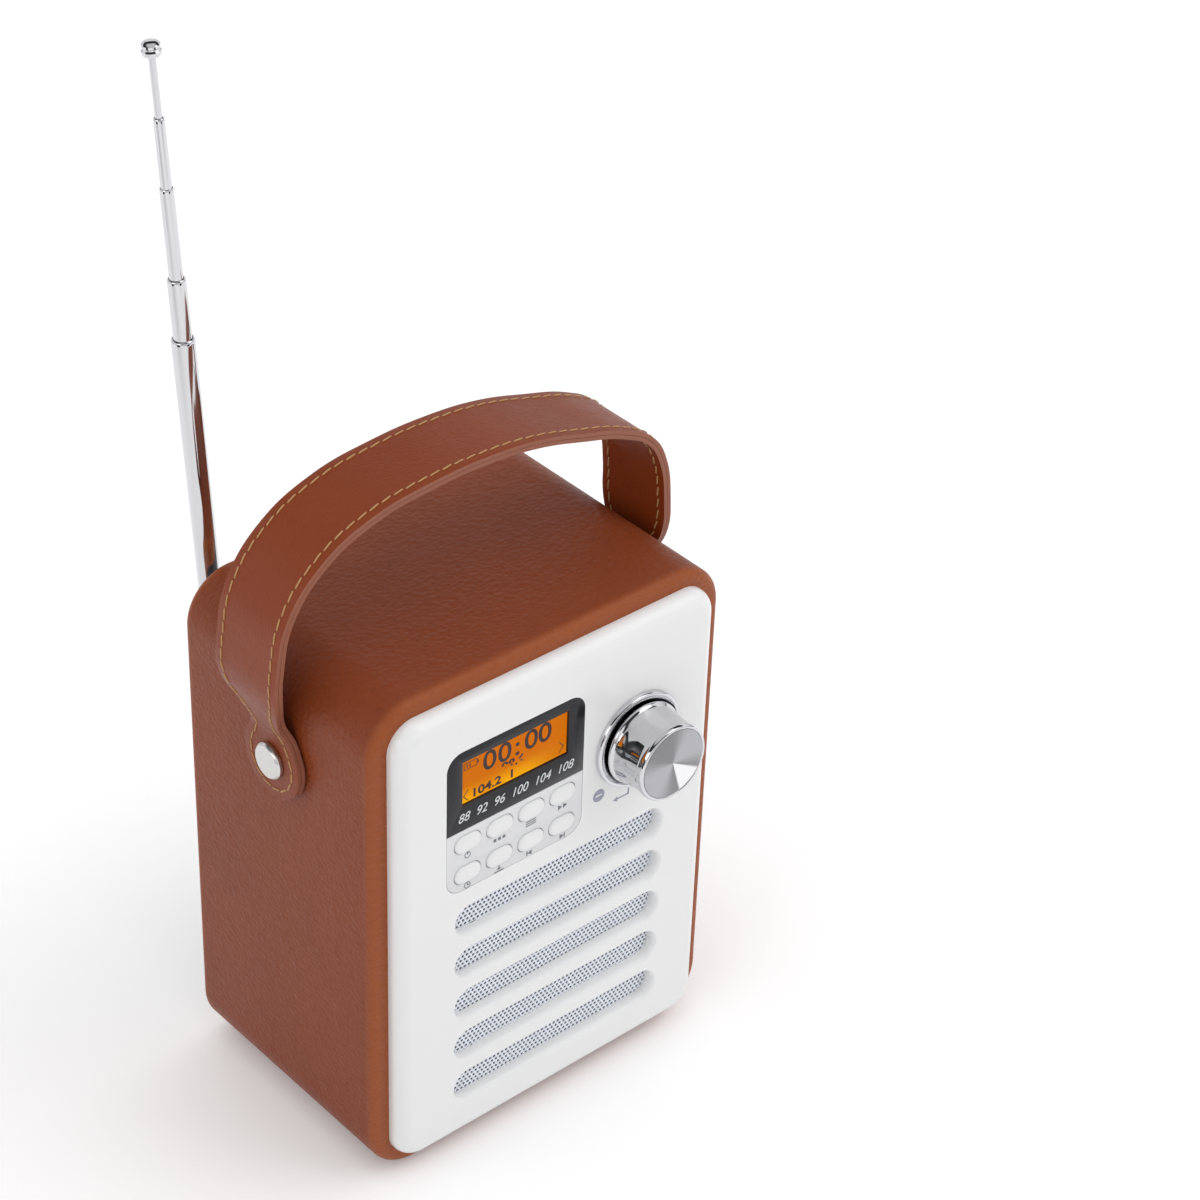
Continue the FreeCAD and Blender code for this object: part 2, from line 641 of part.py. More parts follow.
def encoder_shaft():
    """The shaft from inside the encoder's rotor to the knob."""
    knob_end = FACE_Y - (KNOB_FRONT_H - FACE_DISC_T - KNOB_WEB)
    rear = BOARD_Y - SHAFT_END_GAP
    return cylinder(SHAFT_R, rear - knob_end, (KNOB_X, knob_end, BASE_Z + KNOB_Z))


def encoder_rotor():
    """The collar that the shaft turns and slides in."""
    y0 = BOARD_Y - ENCODER_T + ROTOR_SET
    return pipe(ROTOR_R, SHAFT_R + RUNNING_GAP, ROTOR_T, (KNOB_X, y0, BASE_Z + KNOB_Z))


def encoder_housing():
    """The encoder's case, with a guide collar in front and the rotor's chamber inside."""
    h = ENCODER_SIZE / 2
    z = BASE_Z + KNOB_Z
    y0 = BOARD_Y - ENCODER_T
    case = box(KNOB_X - h, KNOB_X + h, y0, BOARD_Y, z - h, z + h)
    guide = cylinder(SLEEVE_R, SLEEVE_T, (KNOB_X, y0 - SLEEVE_T, z))
    chamber = cylinder(ROTOR_R + RUNNING_GAP, ROTOR_T + 2 * ROTOR_END_GAP,
                       (KNOB_X, y0 + ROTOR_SET - ROTOR_END_GAP, z))
    bore = cylinder(SHAFT_R + RUNNING_GAP, SLEEVE_T + ENCODER_T - BORE_END, (KNOB_X, y0 - SLEEVE_T, z))
    return fuse([case, guide]).cut([chamber, bore])


# --- loudspeaker -----------------------------------------------------------------------------------
def speaker_grille():
    """The perforated sheet behind the slots, made here without its holes."""
    width = SLOT_W - 2 * SLOT_FLARE + 2 * GRILLE_MARGIN
    height = SLOT_PITCH * (SLOT_COUNT - 1) + SLOT_H - 2 * SLOT_FLARE + 2 * GRILLE_MARGIN
    sheet = rounded_block(width, height, GRILLE_CORNER_R, GRILLE_Y, GRILLE_Y + GRILLE_T, SLOT_X, SLOT_MID_Z)
    return sheet.cut([cylinder(EAR_BOSS_R, GRILLE_T, (x, GRILLE_Y, z)) for x, z in EAR_PLACES])


def speaker_plate(y0, thickness, bore_r):
    """A ring with four ears, the outline of the basket's flange and of its gasket."""
    ring = cylinder(SPEAKER_R, thickness, (SLOT_X, y0, SLOT_MID_Z))
    ears = [cylinder(EAR_R, thickness, (x, y0, z)) for x, z in EAR_PLACES]
    return fuse([ring] + ears).cut(cylinder(bore_r, thickness, (SLOT_X, y0, SLOT_MID_Z)))


def speaker_gasket():
    """Foam between the grille and the basket."""
    plate = speaker_plate(GRILLE_Y + GRILLE_T, GASKET_T, SPEAKER_BORE_R)
    return plate.cut([cylinder(EAR_BOSS_R, GASKET_T, (x, GRILLE_Y + GRILLE_T, z)) for x, z in EAR_PLACES])


def speaker_basket():
    """The pressed steel frame with four windows."""
    flange = speaker_plate(BASKET_Y, BASKET_T, SPEAKER_BORE_R)
    t = BASKET_WALL
    y1 = BASKET_Y + BASKET_DEPTH
    throat = MAGNET_R - 2 * PLATE_INSET
    wall = turned([(SPEAKER_BORE_R, 0.0), (SPEAKER_BORE_R + t, 0.0), (SPEAKER_BORE_R + t, -BASKET_T),
                   (throat + t, -BASKET_DEPTH), (throat + t, -BASKET_DEPTH - t),
                   (BASKET_BORE_R, -BASKET_DEPTH - t), (BASKET_BORE_R, -BASKET_DEPTH),
                   (throat, -BASKET_DEPTH), (SPEAKER_BORE_R, -BASKET_T)],
                  SLOT_X, SLOT_MID_Z, BASKET_Y)
    windows = [box(SLOT_X + sx * VENT_MID_R - VENT_HALF, SLOT_X + sx * VENT_MID_R + VENT_HALF,
                   BASKET_Y + VENT_FRONT, y1 - VENT_REAR,
                   SLOT_MID_Z + sz * VENT_MID_R - VENT_HALF, SLOT_MID_Z + sz * VENT_MID_R + VENT_HALF)
               for sx, sz in ((1, 0), (-1, 0), (0, 1), (0, -1))]
    holes = [cylinder(SMALL_SCREW_R + SCREW_CLEARANCE, BASKET_T, (x, BASKET_Y, z)) for x, z in EAR_PLACES]
    return fuse([flange, wall]).cut(windows + holes)


MAGNET_Y = BASKET_Y + BASKET_DEPTH + BASKET_WALL


def speaker_top_plate():
    """The steel ring on the front of the magnet."""
    return pipe(MAGNET_R - PLATE_INSET, PLATE_BORE_R, PLATE_T, (SLOT_X, MAGNET_Y, SLOT_MID_Z))


def speaker_magnet():
    """The ferrite ring."""
    return pipe(MAGNET_R, MAGNET_BORE_R, MAGNET_T, (SLOT_X, MAGNET_Y + PLATE_T, SLOT_MID_Z))


def speaker_yoke():
    """Back plate and pole in one piece."""
    y1 = MAGNET_Y + PLATE_T + MAGNET_T
    plate = cylinder(MAGNET_R - PLATE_INSET, PLATE_T, (SLOT_X, y1, SLOT_MID_Z))
    pole = cylinder(POLE_R, y1 - MAGNET_Y, (SLOT_X, MAGNET_Y, SLOT_MID_Z))
    return fuse([plate, pole])


def voice_coil():
    """Former and winding in the magnet's gap."""
    y0 = BASKET_Y + CONE_DEPTH
    return pipe(COIL_R, COIL_BORE_R, MAGNET_Y + PLATE_T - y0, (SLOT_X, y0, SLOT_MID_Z))


def speaker_cone():
    """The paper cone."""
    rim = CONE_R - CONE_RIM
    return turned([(rim, 0.0), (CONE_R, 0.0), (CONE_R, -CONE_T), (rim, -CONE_T),
                   (COIL_R, -CONE_DEPTH - CONE_T), (COIL_R, -CONE_DEPTH)], SLOT_X, SLOT_MID_Z, BASKET_Y)


def speaker_surround():
    """The half-roll rubber edge from the cone to the flange."""
    roll_r = (SPEAKER_BORE_R - CONE_R) / 2
    mid_r = CONE_R + roll_r
    y = BASKET_Y + CONE_T
    ring = Part.makeTorus(mid_r, roll_r, Vector(SLOT_X, y, SLOT_MID_Z), Vector(0, 1, 0))
    inner = Part.makeTorus(mid_r, roll_r - SURROUND_T, Vector(SLOT_X, y, SLOT_MID_Z), Vector(0, 1, 0))
    reach = roll_r + SURROUND_T
    front = pipe(SPEAKER_BORE_R, CONE_R, reach, (SLOT_X, y - reach, SLOT_MID_Z))
    return ring.cut(inner).common(front)


def dust_cap():
    """The domed cap over the coil."""
    base = BASKET_Y + CONE_DEPTH
    rise = CAP_RISE
    radius = (COIL_R ** 2 + rise ** 2) / (2 * rise)
    middle = base - rise + radius
    outer = Part.makeSphere(radius, Vector(SLOT_X, middle, SLOT_MID_Z))
    inner = Part.makeSphere(radius - CONE_T, Vector(SLOT_X, middle, SLOT_MID_Z))
    return outer.cut(inner).common(cylinder(COIL_R, rise + 1.0, (SLOT_X, base - rise - 1.0, SLOT_MID_Z)))


# --- handle ----------------------------------------------------------------------------------------
STRAP_INNER_X = CABINET_W / 2 + WASHER_T + STRAP_GAP
STRAP_OUTER_X = STRAP_INNER_X + STRAP_T


def strap_curve():
    """The strap's outer line above its straight ends, seen from the front.

    The leather bows out on the left, rises to its top near the middle and drops in a tighter bend
    to the right leg. Its points are shares of the half width, and heights above the rivets.
    """
    half = STRAP_OUTER_X
    shape = [(-1.0, LEG_STRAIGHT), (-1.0486, 15.0), (-1.1182, 25.0), (-1.1134, 37.0), (-1.0453, 51.0),
             (-0.87045, 63.4), (-0.61943, 70.7), (-0.31984, 73.6), (0.0, STRAP_RISE), (0.24696, 72.4),
             (0.48988, 68.6), (0.74413, 63.4), (0.8996, 57.4), (0.97733, 48.8), (1.0097, 37.0),
             (1.0081, 20.0), (1.0, LEG_STRAIGHT)]
    z0 = BASE_Z + RIVET_Z
    return smooth_line([Vector(share * half, 0, z0 + z) for share, z in shape])


def smooth_line(points):
    """A curve through points that starts straight up and ends straight down."""
    curve = Part.BSplineCurve()
    curve.interpolate(Points=points, InitialTangent=Vector(0, 0, 1), FinalTangent=Vector(0, 0, -1))
    return curve


def pieces_of(curve):
    """A curve cut at its knots into separate edges."""
    knots = curve.getKnots()
    edges = []
    for start, end in zip(knots, knots[1:]):
        piece = curve.copy()
        piece.segment(start, end)
        edges.append(piece.toShape())
    return edges


def strap_band():
    """The strap as a plain band of full width, from below one rivet, over the top, to the other."""
    outer = strap_curve()
    knots = outer.getKnots()
    places = [a + (b - a) * k / STRAP_STEPS for a, b in zip(knots, knots[1:]) for k in range(STRAP_STEPS)]
    inside = []
    for t in places + [knots[-1]]:
        along = outer.tangent(t)[0]
        inside.append(outer.value(t) + Vector(along.z, 0, -along.x) * STRAP_T)
    first, last = outer.value(knots[0]), outer.value(knots[-1])
    edges = pieces_of(outer) + pieces_of(smooth_line(inside))
    edges += [Part.makeLine(last, inside[-1]), Part.makeLine(inside[0], first)]
    band = Part.Face(Part.Wire(Part.__sortEdges__(edges))).extrude(Vector(0, STRAP_W, 0))
    band.translate(Vector(0, RIVET_Y - STRAP_W / 2, 0))
    z0 = BASE_Z + RIVET_Z
    y0 = RIVET_Y - STRAP_W / 2
    legs = [box(x, x + STRAP_T, y0, y0 + STRAP_W, z0 - TAB_R - 1.0, z0 + LEG_STRAIGHT)
            for x in (-STRAP_OUTER_X, STRAP_INNER_X)]
    return fuse([band] + legs)


def strap_side():
    """The strap's outline from the side: a round tab, a neck, then the full width."""
    z0 = BASE_Z + RIVET_Z
    full = STRAP_W / 2
    half = full + 0.5
    lift = 6.5
    tab_y = math.sqrt(TAB_R ** 2 - lift ** 2)
    edge = [(tab_y, lift), (NECK_W / 2 + 0.25, 11.0), (NECK_W / 2 + 0.8, 16.5), (full - 1.2, 23.5),
            (half, 29.0)]
    top = STRAP_RISE + 5.0

    def side(sign):
        curve = Part.BSplineCurve()
        curve.interpolate([Vector(0, RIVET_Y + sign * y, z0 + z) for y, z in edge])
        return curve.toShape()

    tab = Part.Arc(Vector(0, RIVET_Y - tab_y, z0 + lift), Vector(0, RIVET_Y, z0 - TAB_R),
                   Vector(0, RIVET_Y + tab_y, z0 + lift)).toShape()
    upper = [Vector(0, RIVET_Y + half, z0 + edge[-1][1]), Vector(0, RIVET_Y + half, z0 + top),
             Vector(0, RIVET_Y - half, z0 + top), Vector(0, RIVET_Y - half, z0 + edge[-1][1])]
    lines = [Part.makeLine(upper[i], upper[i + 1]) for i in range(3)]
    outline = Part.Wire(Part.__sortEdges__([tab, side(1), side(-1)] + lines))
    reach = CABINET_W
    slab = Part.Face(outline).extrude(Vector(2 * reach, 0, 0))
    slab.translate(Vector(-reach, 0, 0))
    return slab


def handle_strap():
    """The leather handle."""
    hole_r = RIVET_SHANK_R + RUNNING_GAP
    hole = cylinder(hole_r, 2 * CABINET_W, (-CABINET_W, RIVET_Y, BASE_Z + RIVET_Z), (1, 0, 0))
    return strap_band().common(strap_side()).cut(hole)


def both_sides(make):
    """The same piece on the left and, mirrored, on the right."""
    right = make()
    left = right.mirror(Vector(0, 0, 0), Vector(1, 0, 0))
    return Part.makeCompound([left, right])


def rivet():
    """A flat-headed rivet with its shank through the cabinet's side."""
    z = BASE_Z + RIVET_Z
    x0 = STRAP_OUTER_X + STRAP_GAP
    inner_x = OPENING_W / 2 - NUT_T - SHANK_PAST_NUT
    head = cylinder(RIVET_HEAD_R, RIVET_HEAD_T, (x0, RIVET_Y, z), (1, 0, 0))
    rim = [e for e in head.Edges if abs(e.BoundBox.XMin - (x0 + RIVET_HEAD_T)) < 0.01]
    head = head.makeChamfer(RIVET_CHAMFER, rim)
    shank = cylinder(RIVET_SHANK_R, x0 - inner_x, (inner_x, RIVET_Y, z), (1, 0, 0))
    return fuse([head, shank])


def rivet_washer():
    """The washer between the strap and the cabinet's side."""
    return pipe(WASHER_R, RIVET_SHANK_R, WASHER_T, (CABINET_W / 2, RIVET_Y, BASE_Z + RIVET_Z), (1, 0, 0))


def rivet_nut():
    """The round nut inside the cabinet."""
    return pipe(NUT_R, RIVET_SHANK_R, NUT_T, (OPENING_W / 2 - NUT_T, RIVET_Y, BASE_Z + RIVET_Z), (1, 0, 0))


# --- back ------------------------------------------------------------------------------------------
def ledge_places():
    """The two ledges inside the cover that carry the main board, and the board's screws."""
    return [(sx * LEDGE_X, BACK_Y - LEDGE_Y) for sx in (-1, 1)]


def back_cover():
    """The back cover with its socket openings, aerial hole, ledges and screw holes."""
    cover = opening_block(SEAT_GAP, COVER_Y, COVER_Y + COVER_T)
    z = BASE_Z + MAIN_BOARD_Z
    ledges = [box(x - LEDGE_HALF, x + LEDGE_HALF, y - LEDGE_REACH, COVER_Y, z - LEDGE_HALF, z)
              for x, y in ledge_places()]
    cover = fuse([cover] + ledges)
    hole_r = LONG_SCREW_R + SCREW_CLEARANCE
    cuts = [cylinder(hole_r, COVER_T, (x, COVER_Y, z_screw)) for x, z_screw in BOSS_PLACES]
    cuts.append(box(USB_X - USB_W / 2, USB_X + USB_W / 2, COVER_Y, COVER_Y + COVER_T,
                    z + BOARD_T, z + BOARD_T + USB_H))
    cuts.append(cylinder(JACK_BODY / 2, COVER_T, (JACK_X, COVER_Y, z + BOARD_T + JACK_BODY / 2)))
    cuts.append(cylinder(STEM_PIN_R + BUSH_WALL, COVER_T, (AERIAL_X, COVER_Y, BASE_Z + AERIAL_Z)))
    cuts += [cylinder(SMALL_SCREW_R, LEDGE_PILOT, (x, y, z), (0, 0, -1)) for x, y in ledge_places()]
    return cover.cut(cuts)


def main_board():
    """The receiver board, lying on the cover's ledges."""
    z = BASE_Z + MAIN_BOARD_Z
    y1 = COVER_Y
    board = box(-MAIN_BOARD_W / 2, MAIN_BOARD_W / 2, y1 - MAIN_BOARD_D, y1, z, z + BOARD_T)
    hole_r = SMALL_SCREW_R + SCREW_CLEARANCE
    return board.cut([cylinder(hole_r, BOARD_T, (x, y, z), (0, 0, 1)) for x, y in ledge_places()])


def tuner_shield():
    """The screening can over the tuner."""
    z = BASE_Z + MAIN_BOARD_Z + BOARD_T
    can = box(CAN_X0, CAN_X1, BACK_Y - CAN_Y0, BACK_Y - CAN_Y1, z, z + CAN_H)
    upright = [e for e in can.Edges if e.BoundBox.ZLength > CAN_H / 2]
    return can.makeFillet(CAN_CORNER_R, upright)


def usb_socket():
    """The charging socket: a pressed shell with a tongue."""
    z = BASE_Z + MAIN_BOARD_Z + BOARD_T
    y1 = COVER_Y + COVER_T
    shell = box(USB_X - USB_W / 2, USB_X + USB_W / 2, y1 - USB_L, y1, z, z + USB_H)
    mouth = rounded_block(USB_W - 2 * USB_WALL, USB_H - 2 * USB_WALL, USB_CORNER_R, y1 - USB_MOUTH, y1,
                          USB_X, z + USB_H / 2)
    tongue = box(USB_X - TONGUE_HALF_W, USB_X + TONGUE_HALF_W, y1 - USB_MOUTH, y1 - TONGUE_SUNK,
                 z + USB_H / 2 - TONGUE_HALF_T, z + USB_H / 2 + TONGUE_HALF_T)
    return fuse([shell.cut(mouth), tongue])


def headphone_jack():
    """The headphone socket: a box on the board with a round nose through the cover."""
    z = BASE_Z + MAIN_BOARD_Z + BOARD_T + JACK_BODY / 2
    y1 = COVER_Y + COVER_T
    h = JACK_BODY / 2
    body = box(JACK_X - h, JACK_X + h, y1 - JACK_L, COVER_Y, z - h, z + h)
    nose = cylinder(h, COVER_T, (JACK_X, COVER_Y, z))
    bore = cylinder(JACK_R, JACK_DEPTH, (JACK_X, y1 - JACK_DEPTH, z))
    return fuse([body, nose]).cut(bore)


def ribbon_cable():
    """The flat cable from the front board, over and down to the main board."""
    y0 = BOARD_Y + BOARD_T
    y1 = COVER_Y - MAIN_BOARD_D + RIBBON_LAND
    z_top = BASE_Z + MAIN_BOARD_Z + RIBBON_RISE
    z_low = BASE_Z + MAIN_BOARD_Z + BOARD_T
    t = RIBBON_T
    r = RIBBON_BEND_R
    q = math.sqrt(0.5)

    def line(radius, z_run, y_run):
        middle = (y_run - radius, z_run - radius)
        start = Vector(0, middle[0], z_run)
        end = Vector(0, y_run, middle[1])
        bend = Part.Arc(start, Vector(0, middle[0] + radius * q, middle[1] + radius * q), end)
        return [Part.makeLine(Vector(0, y0, z_run), start), bend.toShape(),
                Part.makeLine(end, Vector(0, y_run, z_low))]

    outer = line(r, z_top, y1)
    inner = line(r - t, z_top - t, y1 - t)
    ends = [Part.makeLine(Vector(0, y0, z_top), Vector(0, y0, z_top - t)),
            Part.makeLine(Vector(0, y1, z_low), Vector(0, y1 - t, z_low))]
    face = Part.Face(Part.Wire(Part.__sortEdges__(outer + inner + ends)))
    strip = face.extrude(Vector(RIBBON_W, 0, 0))
    strip.translate(Vector(RIBBON_X, 0, 0))
    return strip


def battery_holder():
    """The cradle on the cabinet's floor."""
    z0 = BASE_Z + SKIN_T + WALL_T
    y = BACK_Y - BATTERY_BACK
    half = BATTERY_L / 2
    middle = z0 + BATTERY_LIFT + BATTERY_R
    end = half + CELL_END_GAP
    side = BATTERY_R + CELL_GAP
    cradle = box(-half - CRADLE_END, half + CRADLE_END, y - CRADLE_HALF_D, y + CRADLE_HALF_D,
                 z0, z0 + CRADLE_H)
    trough = cylinder(side, 2 * end, (-end, y, middle), (1, 0, 0))
    above = box(-end, end, y - side, y + side, middle, z0 + 2 * CRADLE_H)
    return cradle.cut([trough, above])


def battery_cell():
    """The rechargeable cell."""
    z0 = BASE_Z + SKIN_T + WALL_T
    y = BACK_Y - BATTERY_BACK
    half = BATTERY_L / 2
    middle = z0 + BATTERY_LIFT + BATTERY_R
    body = cylinder(BATTERY_R, BATTERY_L - CELL_BUTTON_T, (-half, y, middle), (1, 0, 0))
    button_end = cylinder(CELL_BUTTON_R, CELL_BUTTON_T, (half - CELL_BUTTON_T, y, middle), (1, 0, 0))
    return fuse([body, button_end])


# --- aerial ----------------------------------------------------------------------------------------
AERIAL_Y = BACK_Y + AERIAL_BACK
LEAN = math.radians(AERIAL_LEAN)
PIVOT = Vector(AERIAL_X, AERIAL_Y, BASE_Z + AERIAL_Z)


def leaned(shape):
    """Places a shape modelled about the pin, with the aerial along Z and the pin along X."""
    made = shape.copy()
    made.rotate(Vector(0, 0, 0), Vector(0, 1, 0), -AERIAL_LEAN)
    made.translate(PIVOT)
    return made


def aerial_mount():
    """The bush in the back cover that the swivel turns in."""
    x, z = AERIAL_X, BASE_Z + AERIAL_Z
    seat = COVER_Y + COVER_T
    flange = cylinder(MOUNT_R, BACK_Y + MOUNT_PROUD - seat, (x, seat, z))
    rim = edges_at(flange, BACK_Y + MOUNT_PROUD)
    flange = flange.makeChamfer(MOUNT_CHAMFER, rim)
    bush_y = COVER_Y - BUSH_T
    bush = cylinder(STEM_PIN_R + BUSH_WALL, COVER_T + BUSH_T, (x, bush_y, z))
    bore = cylinder(STEM_PIN_R + RUNNING_GAP, BACK_Y + MOUNT_PROUD - bush_y, (x, bush_y, z))
    return fuse([flange, bush]).cut(bore)


def aerial_swivel():
    """The fork that turns on the mount, with its stem riveted over inside."""
    disc_y = BACK_Y + MOUNT_PROUD + SWIVEL_GAP - AERIAL_Y
    disc = cylinder(SWIVEL_R, SWIVEL_T, (0, disc_y, 0))
    half_gap = TANG_T / 2 + TANG_GAP
    ears = []
    for sign in (-1, 1):
        x0 = half_gap if sign > 0 else -half_gap - EAR_T
        block = box(x0, x0 + EAR_T, disc_y, 0, -TANG_R, TANG_R)
        ears.append(block.fuse(cylinder(TANG_R, EAR_T, (x0, 0, 0), (1, 0, 0))))
    stem_y = COVER_Y - BUSH_T - SWIVEL_GAP - AERIAL_Y
    stem = cylinder(STEM_PIN_R, disc_y - stem_y, (0, stem_y, 0))
    head = cylinder(STEM_PIN_R + STEM_HEAD, STEM_HEAD_T, (0, stem_y - STEM_HEAD_T, 0))
    solid = fuse([disc, stem, head] + ears)
    return leaned(solid.cut(cylinder(PIN_R, 4 * SWIVEL_R, (-2 * SWIVEL_R, 0, 0), (1, 0, 0))))


def aerial_pin():
    """The tilt hinge's pin, fixed in the fork."""
    length = TANG_T + 2 * (EAR_T + PIN_PROUD)
    return leaned(cylinder(PIN_R, length, (-length / 2, 0, 0), (1, 0, 0)))


def base_tube():
    """The widest tube, closed at its foot by the tang that tilts on the pin."""
    half = TANG_T / 2
    tang = box(-half, half, -TANG_R, TANG_R, 0, TUBE_START)
    tang = tang.fuse(cylinder(TANG_R, TANG_T, (-half, 0, 0), (1, 0, 0)))
    radius = TUBE_RADII[0]
    plug = cylinder(radius, PLUG_T, (0, 0, TUBE_START), (0, 0, 1))
    wall = pipe(radius, TUBE_RADII[1] + RUNNING_GAP, TUBE_TOPS[0] - TUBE_START - PLUG_T,
                (0, 0, TUBE_START + PLUG_T), (0, 0, 1))
    hole = cylinder(PIN_R + RUNNING_GAP, TANG_T, (-half, 0, 0), (1, 0, 0))
    return leaned(fuse([tang, plug, wall]).cut(hole))


def sliding_tube(i):
    """One of the middle tubes, open for the next one."""
    top = TUBE_TOPS[i]
    length = TUBE_LENGTHS[i]
    bore_r = TUBE_RADII[i + 1] + RUNNING_GAP
    return leaned(pipe(TUBE_RADII[i], bore_r, length, (0, 0, top - length), (0, 0, 1)))


def aerial_rod():
    """The innermost solid rod."""
    length = TUBE_LENGTHS[-1]
    return leaned(cylinder(TUBE_RADII[-1], length, (0, 0, TUBE_TOPS[-1] - length), (0, 0, 1)))


def aerial_tip():
    """The button on the rod's end."""
    tip = cylinder(TIP_R, TIP_T, (0, 0, TUBE_TOPS[-1]), (0, 0, 1))
    rims = [e for e in tip.Edges if e.BoundBox.ZLength < 0.01]
    return leaned(tip.makeFillet(TIP_EDGE_R, rims))


def nodes():
    """Every piece, by name."""
    made = {
        "cabinet_shell": cabinet_shell(),
        "leather_wrap": leather_wrap(),
        "corner_blocks": all_corner_blocks(),
        "rubber_feet": rubber_feet(),
        "front_panel": front_panel(),
        "display_surround": display_surround(),
        "display_window": display_window(),
        "keypad_label": keypad_label(),
        "lcd_cell": lcd_cell(),
        "lcd_light_guide": lcd_light_guide(),
        "lcd_frame": lcd_frame(),
        "front_board": front_board(),
        "tact_switches": tact_switches(),
        "long_screws": long_screws(),
        "small_screws": small_screws(),
        "knob_ring": knob_ring(),
        "knob": knob(),
        "knob_face": knob_face(),
        "encoder_shaft": encoder_shaft(),
        "encoder_rotor": encoder_rotor(),
        "encoder_housing": encoder_housing(),
        "speaker_grille": speaker_grille(),
        "speaker_gasket": speaker_gasket(),
        "speaker_basket": speaker_basket(),
        "speaker_top_plate": speaker_top_plate(),
        "speaker_magnet": speaker_magnet(),
        "speaker_yoke": speaker_yoke(),
        "voice_coil": voice_coil(),
        "speaker_cone": speaker_cone(),
        "speaker_surround": speaker_surround(),
        "dust_cap": dust_cap(),
        "handle_strap": handle_strap(),
        "handle_rivets": both_sides(rivet),
        "rivet_washers": both_sides(rivet_washer),
        "rivet_nuts": both_sides(rivet_nut),
        "back_cover": back_cover(),
        "main_board": main_board(),
        "tuner_shield": tuner_shield(),
        "usb_socket": usb_socket(),
        "headphone_jack": headphone_jack(),
        "ribbon_cable": ribbon_cable(),
        "battery_holder": battery_holder(),
        "battery_cell": battery_cell(),
        "aerial_mount": aerial_mount(),
        "aerial_swivel": aerial_swivel(),
        "aerial_pin": aerial_pin(),
        "aerial_base_tube": base_tube(),
        "aerial_rod": aerial_rod(),
        "aerial_tip": aerial_tip(),
    }
    for i, (x, z) in enumerate(button_places()):
        made[f"button_{i + 1}"] = button(x, z)
    for i in range(1, len(TUBE_RADII) - 1):
        made[f"aerial_tube_{i + 1}"] = sliding_tube(i)
    return made


def centred(made):
    """The same pieces, with the origin under the middle of the box that holds them all."""
    whole = Part.makeCompound(list(made.values())).optimalBoundingBox()
    shift = Vector(-(whole.XMin + whole.XMax) / 2, -(whole.YMin + whole.YMax) / 2, -whole.ZMin)
    print(f"moved by {shift.x:.4f}, {shift.y:.4f}, {shift.z:.4f} mm")
    for shape in made.values():
        shape.translate(shift)
    return made


os.makedirs("parts", exist_ok=True)
for name, shape in centred(nodes()).items():
    if not shape.isValid() or not shape.Solids:
        raise ValueError(name + " is not a valid solid")
    shape.exportStep(f"parts/{name}.step")
    print(f"{name:22s} {len(shape.Solids):2d} solid(s) {shape.Volume / 1000:9.3f} cm3")
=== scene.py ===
"""Tabletop radio: the visible pieces, their finishes and a studio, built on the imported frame.

Metres, in the frame's own axes. X runs to the right as seen from the front, Y to the back, Z up.
Sizes that a user would change are in the property groups; the rest are named in millimetres below.
"""
import json
import math
from contextlib import contextmanager

import bmesh
import bpy
from mathutils import Matrix, Vector


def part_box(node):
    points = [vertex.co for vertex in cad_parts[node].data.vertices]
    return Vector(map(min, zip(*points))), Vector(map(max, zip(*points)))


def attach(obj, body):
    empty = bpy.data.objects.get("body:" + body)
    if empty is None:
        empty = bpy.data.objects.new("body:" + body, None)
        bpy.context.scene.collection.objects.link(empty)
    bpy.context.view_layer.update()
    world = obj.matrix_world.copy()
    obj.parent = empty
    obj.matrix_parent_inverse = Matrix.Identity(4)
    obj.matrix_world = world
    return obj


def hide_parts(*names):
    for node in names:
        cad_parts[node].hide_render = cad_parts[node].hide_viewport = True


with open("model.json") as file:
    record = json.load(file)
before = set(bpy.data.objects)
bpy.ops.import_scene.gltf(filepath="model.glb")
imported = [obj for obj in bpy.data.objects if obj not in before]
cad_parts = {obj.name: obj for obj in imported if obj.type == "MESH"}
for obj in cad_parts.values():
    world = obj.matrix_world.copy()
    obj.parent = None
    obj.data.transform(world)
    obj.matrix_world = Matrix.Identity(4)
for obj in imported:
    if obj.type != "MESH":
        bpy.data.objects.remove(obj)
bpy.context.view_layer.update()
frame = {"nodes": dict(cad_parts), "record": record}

bl_info = {
    "name": "Tabletop radio",
    "version": (1, 0, 0),
    "blender": (4, 5, 0),
    "location": "3D View > Sidebar > Radio",
    "description": "Builds the leather-wrapped tabletop radio and its studio",
    "category": "Object",
}

MM = 0.001
JOINTS = {joint["name"]: joint for joint in frame["record"]["behaviour"]["joints"]}
WRAP_LO, WRAP_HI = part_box("leather_wrap")
PANEL_LO, PANEL_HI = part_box("front_panel")
LABEL_LO, LABEL_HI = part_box("keypad_label")
BEZEL_LO, BEZEL_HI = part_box("display_surround")
WINDOW_LO, WINDOW_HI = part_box("display_window")
MIDDLE_X = (WRAP_LO[0] + WRAP_HI[0]) / 2
FACE_Y = PANEL_LO[1]
FRONT_Y = WRAP_LO[1]
BACK_Y = WRAP_HI[1]
BASE_Z = WRAP_LO[2]
BUTTON_BOXES = {f"button_{i}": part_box(f"button_{i}") for i in range(1, 9)}
KNOB_CENTRE = Vector(JOINTS["knob_turn"]["pos_m"])
HANDLE_CENTRE = Vector(JOINTS["handle_swing"]["pos_m"])
HANDLE_CENTRE_LINE = Vector((MIDDLE_X, HANDLE_CENTRE.y, HANDLE_CENTRE.z))
AERIAL_PIVOT = Vector(JOINTS["aerial_turn"]["pos_m"])
AERIAL_UP = Vector(JOINTS["aerial_slide_2"]["axis"])
FORWARD = Vector((0, -1, 0))

